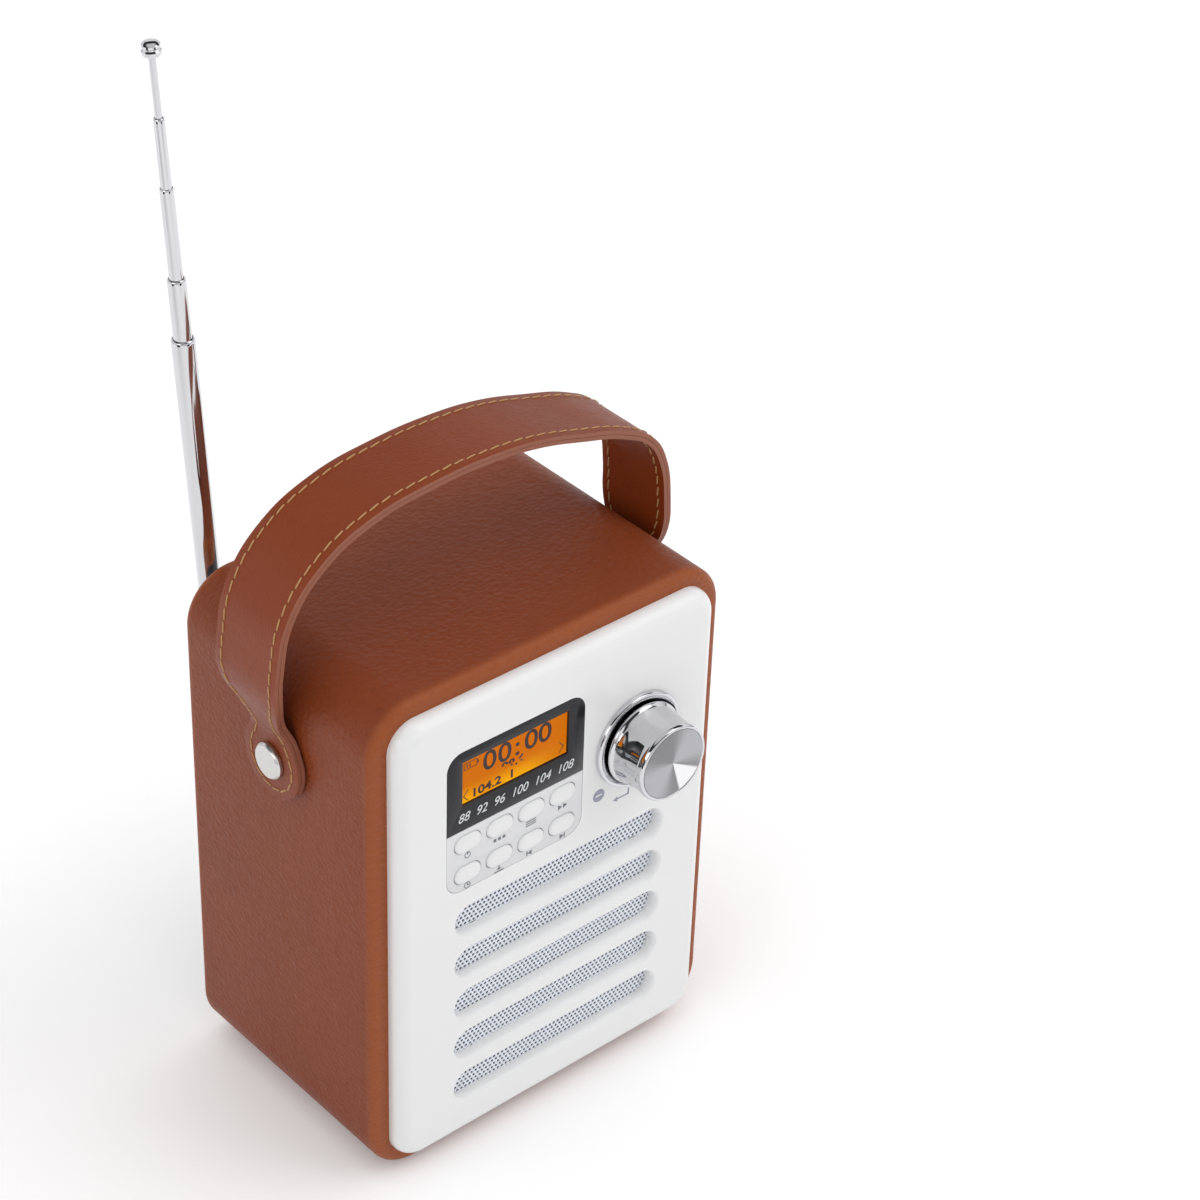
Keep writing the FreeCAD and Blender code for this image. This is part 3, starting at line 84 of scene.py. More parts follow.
# --- cabinet and panel, millimetres ----------------------------------------------------------------
CABINET_CORNER_R = 14.5
SKIN_EDGE_R = 2.4
SKIN_T = 1.0
FOOT_R = 5.0
OVERCUT = 1.0           # how far a cutter reaches past what it cuts
RIM_W = 6.5             # leather and wood together, round the opening
PANEL_CORNER_R = 8.4
PANEL_EDGE_R = 4.3
PANEL_RIM_T = 2.5
PANEL_FACE_T = 3.2
SPIGOT_GAP = 0.3
SPIGOT_T = 2.0
SPIGOT_DEPTH = 6.0
BOSS_R = 3.2
BOSS_BORE_R = 1.1
BOSS_INSET = 9.0
BOSS_DEPTH = 8.0
LABEL_T = 0.8
LABEL_CORNER_R = 5.0
SEAM_GAP = 0.08         # shadow line round the labels
FRAME_MARGIN = 3.1      # opening for the display's frame, beyond the window

# --- speaker slots ---------------------------------------------------------------------------------
SLOT_X = 1.2            # from the cabinet's middle
SLOT_W = 73.6
SLOT_H = 11.8
SLOT_FLARE = 1.5
SLOT_Z0 = 22.1
SLOT_PITCH = 14.5
SLOT_COUNT = 5
GRILLE_T = 0.3          # the sheet as punched
SPEAKER_BOSS_X = 28.0   # the loudspeaker's screw bosses, from its middle
SPEAKER_BOSS_Z = 1.5 * SLOT_PITCH
SPEAKER_BOSS_GAP_R = 2.9

# --- buttons and printing --------------------------------------------------------------------------
BUTTON_HOLE_R = 2.9
BUTTON_REACH = 1.6      # half the straight part of a button
FIGURE_WEIGHT = 0.1     # how much bolder than the plain face the display's figures are
MARK_SCALE = 1.25
MARK_DROP = 4.1         # from a button's middle down to its mark
PRINT_LIFT = 0.015      # the middle of a printed mark, in front of its surface
DISC_X = 12.8           # the two marks beside the knob, from its middle
DISC_Z = 99.9           # above the base
DISC_R = 2.0
ARROW_Z = 95.5

# --- knob, distances in front of the panel's face --------------------------------------------------
KNOB_HOLE_R = 10.0
RING_PROFILE = ((8.4, -3.2), (10.0, -3.2), (10.0, 0.0), (14.4, 0.0), (14.4, 1.0), (14.2, 1.45), (13.8, 1.7),
                (13.5, 1.65), (13.1, 1.25), (12.7, 0.85), (11.6, 0.6), (8.4, 0.5))
KNOB_PROFILE = ((3.0, 2.0), (12.0, 2.0), (12.2, 2.25), (12.2, 2.9), (12.05, 3.15), (11.65, 3.4),
                (11.4, 3.9), (11.3, 6.5), (11.2, 9.0), (11.15, 11.6), (11.2, 12.2), (11.4, 12.6),
                (11.4, 13.6), (11.25, 14.2), (10.95, 14.55), (10.6, 14.6), (10.35, 14.4), (10.3, 14.2),
                (0.0, 14.2), (0.0, 12.2), (3.0, 12.2))
FACE_PROFILE = ((0.0, 14.22), (10.25, 14.22), (10.25, 14.45), (9.6, 14.55), (0.0, 14.3))

# --- handle ----------------------------------------------------------------------------------------
STRAP_OUTER_X = 61.75
STRAP_T = 2.4
LAYER_GAP = 0.08
TAB_R = 11.3
RIVET_HOLE_R = 2.6
STITCH_INSET = 2.3
STITCH_R = 0.26
STITCH_LEAN = math.radians(7.0)
# half the strap's width, as (distance from its end, half width)
NECK = ((17.8, 9.24), (22.3, 7.45), (27.8, 8.0), (34.8, 11.3), (40.3, 12.5), (46.0, 12.5))
RIVET_X = 61.85
SHANK_R = 2.5
RIVET_PROFILE = ((0.0, 1.66), (4.2, 1.7), (4.6, 1.66), (4.72, 1.56), (5.14, 1.06), (5.2, 0.95), (5.2, 0.12),
                 (5.05, 0.0), (SHANK_R, 0.0), (SHANK_R, -11.0), (0.0, -11.0))

# --- aerial ----------------------------------------------------------------------------------------
TUBE_RADII = (3.1, 2.42, 1.8, 1.43, 0.93)
TUBE_TOPS = (91.5, 108.8, 134.2, 153.2, 169.7)
TUBE_LENGTHS = (86.3, 76.0, 74.0, 72.0, 70.0)
TUBE_GAP = 0.05
BASE_FOOT = 5.2         # from the pin up to the base tube's foot
FOOT_PLUG = 3.0         # solid length of that foot
TIP_R = 2.45
TIP_T = 3.6


# --- sizes, colours and studio settings -----------------------------------------------------------
def colour_property(name, description, default):
    """A colour shown as a swatch."""
    return bpy.props.FloatVectorProperty(name=name, description=description, default=default, size=3,
                                         min=0.0, max=1.0, subtype="COLOR")


def length_property(name, description, millimetres):
    """A length."""
    return bpy.props.FloatProperty(name=name, description=description, default=millimetres * MM,
                                   unit="LENGTH")


def angle_property(name, description, degrees):
    """An angle."""
    return bpy.props.FloatProperty(name=name, description=description, default=math.radians(degrees),
                                   subtype="ANGLE")


class RadioSizes(bpy.types.PropertyGroup):
    """Sizes that can be changed without touching the frame."""

    hole_radius: length_property("Hole radius", "Radius of a speaker grille hole", 0.47)
    hole_pitch: length_property("Hole pitch", "Distance between holes in one row", 1.43)
    row_pitch: length_property("Row pitch", "Distance between rows of holes", 1.24)
    stitch_length: length_property("Stitch", "Length of one stitch on the handle", 3.3)
    stitch_gap: length_property("Stitch gap", "Gap between two stitches", 0.55)
    button_dome: length_property("Button dome", "Height of a button's crown", 0.35)


class RadioColours(bpy.types.PropertyGroup):
    """Colours of the radio's finishes."""

    leather: colour_property("Leather", "Cabinet covering", (0.205, 0.040, 0.0095))
    leather_worn: colour_property("Leather rim", "Cabinet covering where it is stretched over a rim",
                                  (0.29, 0.070, 0.017))
    strap: colour_property("Strap", "Handle leather", (0.205, 0.036, 0.0065))
    strap_edge: colour_property("Strap edge", "Cut edge of the handle", (0.27, 0.090, 0.050))
    thread: colour_property("Thread", "Stitching", (0.50, 0.27, 0.11))
    panel: colour_property("Panel", "Front moulding", (0.755, 0.755, 0.755))
    bezel: colour_property("Bezel", "Display surround", (0.010, 0.010, 0.012))
    keypad: colour_property("Keypad", "Keypad label", (0.66, 0.66, 0.67))
    print_grey: colour_property("Printing", "Printed marks", (0.14, 0.145, 0.17))
    glow: colour_property("Display", "Lit display", (0.66, 0.165, 0.0015))
    glow_bright: colour_property("Display lamp", "Display where its lamp is nearest", (1.0, 0.46, 0.006))
    chrome: colour_property("Chrome", "Knob and aerial", (0.66, 0.66, 0.68))
    floor: colour_property("Floor", "Studio floor", (0.95, 0.95, 0.955))


class RadioStudio(bpy.types.PropertyGroup):
    """Camera and light."""

    azimuth: angle_property("Azimuth", "Direction that the camera looks in", -42.373)
    elevation: angle_property("Elevation", "How steeply it looks down", 34.736)
    roll: angle_property("Roll", "Turn about the line of sight", 2.24)
    place: bpy.props.FloatVectorProperty(name="Place",
                                         description="Where the camera stands, from the origin",
                                         default=(-0.4351, -0.5319, 0.6272), size=3, subtype="TRANSLATION")
    focal: bpy.props.FloatProperty(name="Focal length", description="Lens, in millimetres", default=96.3)
    key_power: bpy.props.FloatProperty(name="Key light", description="Power of the large soft light",
                                       default=6.0, unit="POWER")
    side_power: bpy.props.FloatProperty(name="Side light", description="Power of the light on the left",
                                        default=3.0, unit="POWER")
    sky: bpy.props.FloatProperty(name="Sky", description="Strength of the even light all round", default=1.0)


# --- modelling helpers ----------------------------------------------------------------------------
def clear_selection():
    """Object mode with nothing selected."""
    if bpy.context.mode != "OBJECT":
        bpy.ops.object.mode_set(mode="OBJECT")
    bpy.ops.object.select_all(action="DESELECT")


def activate(obj):
    """Makes obj the only selected object, and the active one."""
    clear_selection()
    obj.select_set(True)
    bpy.context.view_layer.objects.active = obj


@contextmanager
def editing(obj):
    """Edit mode on obj for the length of a with block."""
    activate(obj)
    bpy.ops.object.mode_set(mode="EDIT")
    yield
    bpy.ops.object.mode_set(mode="OBJECT")


def select(obj, kind, test):
    """Selects, in edit mode, the vertices, edges or faces that pass a test."""
    bpy.ops.mesh.select_mode(type=kind)
    bpy.ops.mesh.select_all(action="DESELECT")
    mesh = bmesh.from_edit_mesh(obj.data)
    parts = {"VERT": mesh.verts, "EDGE": mesh.edges, "FACE": mesh.faces}[kind]
    for part in parts:
        if test(part):
            part.select_set(True)
    mesh.select_flush_mode()
    bmesh.update_edit_mesh(obj.data)


def lies_in(axis, value, slack=1e-5):
    """A test for an edge or face that lies in the plane where one coordinate has a value."""
    return lambda part: all(abs(vert.co[axis] - value) < slack for vert in part.verts)


def runs_along(axis):
    """A test for an edge that runs along one axis."""
    def test(edge):
        way = edge.verts[1].co - edge.verts[0].co
        return abs(way[axis]) > 0.999 * way.length
    return test


def settle(obj):
    """Applies an object's place, turn and size to its mesh."""
    activate(obj)
    bpy.ops.object.transform_apply(location=True, rotation=True, scale=True)
    return obj


def block(name, lo, hi):
    """A box between two corners."""
    clear_selection()
    middle = [(a + b) / 2 for a, b in zip(lo, hi)]
    size = [b - a for a, b in zip(lo, hi)]
    bpy.ops.mesh.primitive_cube_add(size=1.0, location=middle, scale=size)
    obj = bpy.context.object
    obj.name = name
    return settle(obj)


def rounded_block(name, lo, hi, radius, segments=12, keep=None):
    """A box whose edges along Y are rounded; keep is a test for the corners to round."""
    obj = block(name, lo, hi)
    along = runs_along(1)
    with editing(obj):
        select(obj, "EDGE", lambda edge: along(edge) and (keep is None or keep(edge)))
        bpy.ops.mesh.bevel(offset=radius, segments=segments, profile=0.5, affect="EDGES")
    return obj


def round_rim(obj, y, radius, segments=6):
    """Rounds the edges of obj that lie in the plane at y."""
    with editing(obj):
        select(obj, "EDGE", lies_in(1, y))
        bpy.ops.mesh.bevel(offset=radius, segments=segments, profile=0.5, affect="EDGES",
                           clamp_overlap=False)


def tidy_normals(obj, merge=1e-6):
    """Merges doubled vertices and turns every face outwards."""
    with editing(obj):
        bpy.ops.mesh.select_all(action="SELECT")
        bpy.ops.mesh.remove_doubles(threshold=merge)
        bpy.ops.mesh.normals_make_consistent(inside=False)
    return obj


def modify(obj, kind, **settings):
    """Adds a modifier and applies it."""
    activate(obj)
    modifier = obj.modifiers.new(kind.lower(), kind)
    for key, value in settings.items():
        setattr(modifier, key, value)
    bpy.ops.object.modifier_apply(modifier=modifier.name)
    return obj


def cut(obj, cutter, operation="DIFFERENCE", overlapping=False):
    """Cuts obj with another object, which is used up."""
    modify(obj, "BOOLEAN", object=cutter, operation=operation, solver="EXACT", use_self=overlapping)
    bpy.data.objects.remove(cutter)
    return obj


def join(objects, name):
    """Several objects made into one."""
    clear_selection()
    for obj in objects:
        obj.select_set(True)
    bpy.context.view_layer.objects.active = objects[0]
    if len(objects) > 1:
        bpy.ops.object.join()
    objects[0].name = name
    objects[0].data.name = name
    return objects[0]


def soften(obj, width, segments=2, angle=35.0):
    """A small bevel on every sharp edge."""
    return modify(obj, "BEVEL", width=width, segments=segments, limit_method="ANGLE",
                  angle_limit=math.radians(angle), harden_normals=False, miter_outer="MITER_ARC")


def smooth(obj, angle=35.0):
    """Smooth shading with the sharp edges kept."""
    activate(obj)
    bpy.ops.object.shade_smooth_by_angle(angle=math.radians(angle))
    return obj


def across(axis):
    """A direction square to an axis."""
    axis = Vector(axis).normalized()
    start = Vector((1, 0, 0)) if abs(axis.x) < 0.9 else Vector((0, 1, 0))
    return (start - axis * start.dot(axis)).normalized()


def line_of(name, points):
    """A chain of edges, extruded from one vertex through the points."""
    clear_selection()
    bpy.ops.mesh.primitive_plane_add(size=MM, location=points[0])
    obj = bpy.context.object
    obj.name = name
    settle(obj)
    with editing(obj):
        bpy.ops.mesh.select_mode(type="VERT")
        bpy.ops.mesh.select_all(action="SELECT")
        bpy.ops.mesh.merge(type="CENTER")
        for before, after in zip(points, points[1:]):
            step = Vector(after) - Vector(before)
            bpy.ops.mesh.extrude_region_move(TRANSFORM_OT_translate={"value": step})
    return obj


def lathe(name, profile, origin, axis=FORWARD, steps=64, offset=0.0, closed=True):
    """A turned piece. The profile is (radius, distance along the axis) in millimetres."""
    axis = Vector(axis).normalized()
    side = Matrix.Rotation(offset, 3, axis) @ across(axis)
    points = [Vector(origin) + (side * r + axis * h) * MM for r, h in profile]
    if closed and (points[0] - points[-1]).length > 1e-7 and profile[0][0] + profile[-1][0] > 0:
        points.append(points[0])
    obj = line_of(name, points)
    with editing(obj):
        bpy.ops.mesh.select_all(action="SELECT")
        bpy.ops.mesh.spin(steps=steps, angle=2 * math.pi, center=origin, axis=axis)
    return tidy_normals(obj)


def obround(name, profile, origin, reach, steps=48):
    """A turned piece about Y, parted in the middle and drawn out to both sides by reach."""
    obj = lathe(name, profile, origin, FORWARD, steps, math.pi / steps)
    for sign in (-1, 1):
        with editing(obj):
            select(obj, "VERT", lambda vert: (vert.co.x - origin[0]) * sign > 1e-6)
            bpy.ops.transform.translate(value=(sign * reach, 0, 0))
    return obj


def duplicate(template, place):
    """A copy with a mesh of its own, moved by a matrix."""
    copy = template.copy()
    copy.data = template.data.copy()
    copy.data.transform(place)
    bpy.context.collection.objects.link(copy)
    return copy


def copies(template, places, name):
    """A template repeated at each place, as one object; the template is used up."""
    made = [duplicate(template, place) for place in places]
    bpy.data.objects.remove(template)
    return join(made, name)


def lettering(name, body, size, middle, squeeze=1.0, lean=0.0, thickness=0.04, weight=0.0):
    """Figures that stand in a plane across Y and face forwards."""
    clear_selection()
    bpy.ops.object.text_add()
    text = bpy.context.object
    text.data.body = body
    text.data.size = size * MM
    text.data.align_x = "CENTER"
    text.data.align_y = "CENTER"
    text.data.shear = lean
    text.data.extrude = thickness * MM / 2
    text.data.offset = weight * MM
    bpy.ops.object.convert(target="MESH")
    obj = bpy.context.object
    obj.name = name
    obj.location = middle
    obj.rotation_euler = (math.pi / 2, 0, 0)
    obj.scale = (squeeze, 1, 1)
    return settle(obj)


def bar(name, x, z, y, width, height, thickness=0.04, turn=0.0):
    """A thin printed bar, centred at x, z and turned in the plane of the panel."""
    half = Vector((width, thickness, height)) * MM / 2
    obj = block(name, -half, half)
    obj.rotation_euler = (0, turn, 0)
    obj.location = (x, y, z)
    return settle(obj)


def place_piece(obj, body, slot, material, *stands_for):
    """Gives a finished piece its material and its body; its slot is not used."""
    obj.data.materials.clear()
    obj.data.materials.append(material)
    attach(obj, body)
    if stands_for:
        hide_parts(*stands_for)


def dress(node, material):
    """Gives a CAD node a better material."""
    mesh = frame["nodes"][node].data
    if not mesh.materials:
        mesh.materials.append(material)
    for i in range(len(mesh.materials)):
        mesh.materials[i] = material


# --- shader helpers -------------------------------------------------------------------------------
class Signal:
    """A shader socket that plain arithmetic works on."""

    def __init__(self, finish, socket):
        self.finish = finish
        self.socket = socket

    def calculate(self, operation, *values):
        """A Math node on some values."""
        return self.finish.node("ShaderNodeMath", {"operation": operation}, dict(enumerate(values)))

    def __add__(self, other):
        return self.calculate("ADD", self, other)

    def __sub__(self, other):
        return self.calculate("SUBTRACT", self, other)

    def __rsub__(self, other):
        return self.calculate("SUBTRACT", other, self)

    def __mul__(self, other):
        return self.calculate("MULTIPLY", self, other)

    def __truediv__(self, other):
        return self.calculate("DIVIDE", self, other)

    def __gt__(self, other):
        return self.calculate("GREATER_THAN", self, other)

    def clamped(self):
        """The same, held between 0 and 1."""
        return self.finish.node("ShaderNodeClamp", {}, {"Value": self})

    def sine(self):
        """Its sine."""
        return self.calculate("SINE", self)

    def size(self):
        """Its distance from nought."""
        return self.calculate("ABSOLUTE", self)

    def ramp(self, low, high):
        """0 below low, 1 above high, and smooth between them."""
        return self.finish.node("ShaderNodeMapRange", {"interpolation_type": "SMOOTHSTEP"},
                                {"Value": self, "From Min": low, "From Max": high})

    __radd__ = __add__
    __rmul__ = __mul__


class Finish:
    """A material and the nodes that make it."""

    def __init__(self, name):
        self.material = bpy.data.materials.new(name)
        self.material.use_nodes = True
        self.tree = self.material.node_tree
        self.shader = next(n for n in self.tree.nodes if n.type == "BSDF_PRINCIPLED")

    def node(self, kind, settings, inputs, output=0):
        """Adds one node: its settings first, then the values and links of its sockets."""
        node = self.tree.nodes.new(kind)
        for key, value in settings.items():
            setattr(node, key, value)
        for key, value in inputs.items():
            self.feed(node.inputs[key], value)
        return Signal(self, node.outputs[output])

    def feed(self, socket, value):
        """Links or sets one socket."""
        if isinstance(value, Signal):
            self.tree.links.new(value.socket, socket)
        elif socket.type == "RGBA" and len(value) == 3:
            socket.default_value = (*value, 1.0)
        else:
            socket.default_value = value

    def place(self, middle=(0.0, 0.0, 0.0), turn=(0.0, 0.0, 0.0)):
        """Object coordinates about a point, turned if need be."""
        point = self.node("ShaderNodeTexCoord", {}, {}, "Object")
        return self.node("ShaderNodeMapping", {"vector_type": "TEXTURE"},
                         {"Vector": point, "Location": middle, "Rotation": turn})

    def axis(self, point, name):
        """One coordinate of a point."""
        return self.node("ShaderNodeSeparateXYZ", {}, {"Vector": point}, name)

    def noise(self, point, scale, detail=2.0, rough=0.5, distort=0.0):
        """Cloudy noise between 0 and 1, scale in cells a metre."""
        return self.node("ShaderNodeTexNoise", {}, {"Vector": point, "Scale": scale, "Detail": detail,
                                                    "Roughness": rough, "Distortion": distort})

    def cells(self, point, scale, feature="F1", spread=1.0):
        """Distance pattern of scattered cells."""
        return self.node("ShaderNodeTexVoronoi", {"feature": feature},
                         {"Vector": point, "Scale": scale, "Randomness": spread})

    def blend(self, first, second, amount):
        """A colour between two."""
        return self.node("ShaderNodeMix", {"data_type": "RGBA"}, {6: first, 7: second, 0: amount}, 2)

    def bump(self, height, distance, strength=1.0, under=None):
        """A relief of height, distance in metres, over another relief if one is given."""
        inputs = {"Height": height, "Distance": distance, "Strength": strength}
        if under:
            inputs["Normal"] = under
        return self.node("ShaderNodeBump", {}, inputs)

    def surface(self, **values):
        """Sets or links the shader's own sockets and returns the material."""
        for key, value in values.items():
            self.feed(self.shader.inputs[key.replace("_", " ")], value)
        return self.material


def shade(colour, factor):
    """A colour made lighter or darker."""
    return tuple(min(1.0, part * factor) for part in colour)


def moulded(name, colour, roughness, grain=900.0, relief=0.01, mottle=0.05, coat=0.0, specular=0.5):
    """Moulded plastic, rubber or paint: a faint mottle and a fine skin texture."""
    make = Finish(name)
    point = make.place()
    cloud = make.noise(point, grain / 12, 3.0)
    skin = make.noise(point, grain, 2.0)
    tone = make.blend(shade(colour, 1 - mottle), shade(colour, 1 + mottle), cloud)
    return make.surface(Base_Color=tone, Roughness=roughness + (skin - 0.5) * 0.08, Coat_Weight=coat,
                        Coat_Roughness=0.08, Specular_IOR_Level=specular,
                        Normal=make.bump(skin, relief * MM))


def metal(name, colour, roughness, streak=(1.0, 1.0, 1.0), grain=500.0, relief=0.004, mottle=0.04):
    """Metal, plain or with a grain drawn out along one axis."""
    make = Finish(name)
    point = make.place()
    drawn = make.node("ShaderNodeVectorMath", {"operation": "MULTIPLY"}, {0: point, 1: streak})
    grain_noise = make.noise(drawn, grain, 3.0)
    cloud = make.noise(point, 60.0, 2.0)
    tone = make.blend(shade(colour, 1 - mottle), shade(colour, 1 + mottle), grain_noise)
    rough = (roughness + (cloud - 0.5) * 0.06 + (grain_noise - 0.5) * 0.04).clamped()
    return make.surface(Base_Color=tone, Metallic=1.0, Roughness=rough,
                        Normal=make.bump(grain_noise, relief * MM))


def cabinet_leather(colours):
    """Fine-grained leatherette, lighter where it is stretched over the rims and corners."""
    make = Finish("cabinet_leather")
    point = make.place((MIDDLE_X, 0.0, 0.0))
    warped = make.node("ShaderNodeVectorMath", {"operation": "MULTIPLY"}, {0: point, 1: (0.8, 1.0, 1.25)})
    pebbles = make.cells(warped, 760.0, "SMOOTH_F1", 1.0)
    creases = make.noise(warped, 520.0, 4.0, 0.6, 0.6)
    broad = make.noise(point, 28.0, 3.0)
    across_y = make.axis(point, "Y")
    front = 1 - (across_y - FRONT_Y).ramp(0.6 * MM, 3.6 * MM)
    back = (across_y - BACK_Y).ramp(-3.6 * MM, -0.6 * MM)
    rub = ((front + back) * (0.55 + creases * 0.7)).clamped()
    tone = make.blend(shade(colours.leather, 0.88), shade(colours.leather, 1.12), broad)
    tone = make.blend(tone, shade(colours.leather, 0.62), creases.ramp(0.56, 0.78) * 0.5)
    tone = make.blend(tone, colours.leather_worn, rub)
    grain = make.bump(pebbles, 0.28 * MM, 0.8)
    relief = make.bump(creases, 0.30 * MM, 0.8, grain)
    rough = (0.47 + (creases - 0.5) * 0.25 - rub * 0.05).clamped()
    return make.surface(Base_Color=tone, Roughness=rough, Specular_IOR_Level=0.25, Normal=relief)


def strap_leather(colours):
    """Smoother leather with a faint pull, fine pores and darker crease marks."""
    make = Finish("strap_leather")
    point = make.place()
    pores = make.cells(point, 1500.0, "F1", 1.0)
    creases = make.noise(point, 420.0, 4.0, 0.6, 0.8)
    broad = make.noise(point, 22.0, 3.0)
    tone = make.blend(shade(colours.strap, 0.84), shade(colours.strap, 1.16), broad)
    tone = make.blend(tone, shade(colours.strap, 0.6), creases.ramp(0.6, 0.8) * 0.35)
    grain = make.bump(pores, 0.10 * MM, 0.5)
    relief = make.bump(creases, 0.20 * MM, 0.5, grain)
    rough = (0.40 + (creases - 0.5) * 0.22).clamped()
    return make.surface(Base_Color=tone, Roughness=rough, Specular_IOR_Level=0.28, Normal=relief)


def strap_edge_paint(colours):
    """The painted cut edge of the handle: duller and lighter, with fibres along it."""
    make = Finish("strap_edge_paint")
    fibres = make.noise(make.place(), 1800.0, 3.0, 0.7)
    tone = make.blend(shade(colours.strap_edge, 0.8), shade(colours.strap_edge, 1.2), fibres)
    return make.surface(Base_Color=tone, Roughness=0.62 + (fibres - 0.5) * 0.2,
                        Normal=make.bump(fibres, 0.06 * MM, 0.5))


def waxed_thread(colours):
    """Tan thread with a fine twist: painted shade darkens the grooves between its plies and lightens their
    crests, over a random fuzz of tone.
    """
    make = Finish("waxed_thread")
    point = make.place()
    total = make.axis(point, "X") + make.axis(point, "Y") * 0.7 + make.axis(point, "Z")
    twist = (total * 9000.0).sine() * 0.5 + 0.5
    fuzz = make.noise(point, 2500.0, 2.0)
    # painted shade from the plies' relief, darker in the grooves; the fuzz part is the thread's own random
    # tone
    tone = make.blend(shade(colours.thread, 0.62), shade(colours.thread, 1.15), twist * 0.7 + fuzz * 0.3)
    return make.surface(Base_Color=tone, Roughness=0.62, Normal=make.bump(twist, 0.05 * MM, 0.6))


def panel_gloss(colours):
    """Glossy white moulding with the faintest flow marks."""
    make = Finish("panel_gloss")
    point = make.place()
    cloud = make.noise(point, 18.0, 2.0)
    tone = make.blend(shade(colours.panel, 0.985), shade(colours.panel, 1.01), cloud)
    return make.surface(Base_Color=tone, Roughness=0.24 + (cloud - 0.5) * 0.05, Coat_Weight=0.15,
                        Coat_Roughness=0.12)


def bezel_gloss(colours):
    """Printed glossy black film, a little greyer where it catches dust."""
    make = Finish("bezel_gloss")
    point = make.place()
    cloud = make.noise(point, 90.0, 4.0)
    tone = make.blend(colours.bezel, shade(colours.bezel, 1.6), cloud)
    return make.surface(Base_Color=tone, Roughness=0.16 + cloud * 0.1, Specular_IOR_Level=0.3)


def clear_pane():
    """The clear window: nearly nothing but its gloss."""
    make = Finish("clear_pane")
    smear = make.noise(make.place(), 140.0, 3.0)
    return make.surface(Base_Color=(0.05, 0.05, 0.05), Roughness=0.05 + smear * 0.08,
                        Alpha=0.02 + smear * 0.02, Specular_IOR_Level=0.1)


def lit_display(colours):
    """Orange back light, brightest along its lower edge, with the faint mesh of the picture cells."""
    make = Finish("lit_display")
    point = make.place()
    height = (make.axis(point, "Z") - WINDOW_LO[2]) / (WINDOW_HI[2] - WINDOW_LO[2])
    along = (make.axis(point, "X") - WINDOW_LO[0]) / (WINDOW_HI[0] - WINDOW_LO[0])
    lamps = 0.55 + ((along - 0.25).size() * 6.28).sine() * 0.45
    near_lamp = (1 - height.ramp(-0.05, 0.42)) * lamps
    columns = (make.axis(point, "X") * (2 * math.pi / (0.42 * MM))).sine().ramp(0.75, 1.0)
    rows = (make.axis(point, "Z") * (2 * math.pi / (0.42 * MM))).sine().ramp(0.75, 1.0)
    mesh = (columns + rows).clamped() * 0.10
    tone = make.blend(colours.glow, colours.glow_bright, near_lamp.clamped())
    tone = make.blend(tone, shade(colours.glow, 0.6), mesh)
    return make.surface(Base_Color=(0.06, 0.012, 0.0), Roughness=0.5, Emission_Color=tone,
                        Emission_Strength=0.95, Specular_IOR_Level=0.05)


def keypad_film(colours):
    """Satin printed film, a little darker towards its lower edge."""
    make = Finish("keypad_film")
    point = make.place()
    fine = make.noise(point, 1600.0, 2.0)
    fade = make.axis(point, "Z").ramp(LABEL_LO[2], LABEL_HI[2])
    tone = make.blend(shade(colours.keypad, 0.96), shade(colours.keypad, 1.04), fade)
    return make.surface(Base_Color=tone, Roughness=0.34 + (fine - 0.5) * 0.1,
                        Normal=make.bump(fine, 0.008 * MM, 0.5))


def spun_face_painted_reflection():
    """Spun aluminium: fine rings as relief, two pale sector-shaped bands of painted reflection and a
    near-white wedge of painted highlight, fixed in the colour.
    """
    make = Finish("spun_face_painted_reflection")
    point = make.place(tuple(KNOB_CENTRE))
    x = make.axis(point, "X")
    z = make.axis(point, "Z")
    radius = make.node("ShaderNodeVectorMath", {"operation": "LENGTH"},
                       {0: make.node("ShaderNodeCombineXYZ", {}, {"X": x, "Z": z})}, "Value")
    angle = x.calculate("ARCTAN2", z, x)
    rings = (radius * 42000.0 + make.noise(point, 800.0) * 2.0).sine() * 0.5 + 0.5
    # painted reflection: two pale and two dark bands round the face, in place of the spun finish's real
    # reflection
    painted_reflection_sectors = (angle * 2.0 + 0.5).sine() * 0.5 + 0.5
    # painted highlight: a near-white wedge on the lower right of the face
    bright = (1 - (angle + 0.92).size().ramp(0.34, 0.44)) * 0.9
    # painted reflection: faint streaks round the face, mixed into the bands above
    painted_reflection_streaks = (angle * 37.0).sine() * 0.04 + (angle * 90.0).sine() * 0.03
    tone = make.blend((0.24, 0.24, 0.25), (0.44, 0.44, 0.46), (painted_reflection_sectors.ramp(0.1, 0.9) + painted_reflection_streaks).clamped())
    tone = make.blend(tone, (0.93, 0.93, 0.94), bright)
    return make.surface(Base_Color=tone, Metallic=0.9, Roughness=0.36 + (rings - 0.5) * 0.1,
                        Normal=make.bump(rings, 0.01 * MM, 0.35))


def circuit_board():
    """Green solder mask over copper tracks and pads."""
    make = Finish("circuit_board")
    point = make.place()
    tracks = make.node("ShaderNodeTexBrick", {"offset": 0.35, "squash": 0.6, "squash_frequency": 3},
                       {"Vector": make.place((0, 0, 0), (math.pi / 2, 0, 0)), "Scale": 260.0,
                        "Mortar Size": 0.035, "Color1": (0.0, 0.0, 0.0), "Color2": (0.0, 0.0, 0.0),
                        "Mortar": (1.0, 1.0, 1.0)})
    pads = 1 - make.cells(point, 330.0, "F1", 0.8).ramp(0.14, 0.17)
    mask = make.blend((0.010, 0.085, 0.028), (0.018, 0.135, 0.045), tracks)
    tone = make.blend(mask, (0.62, 0.60, 0.55), pads)
    return make.surface(Base_Color=tone, Roughness=0.38 - pads * 0.1, Metallic=pads * 0.8,
                        Normal=make.bump(pads, 0.05 * MM, 0.4))


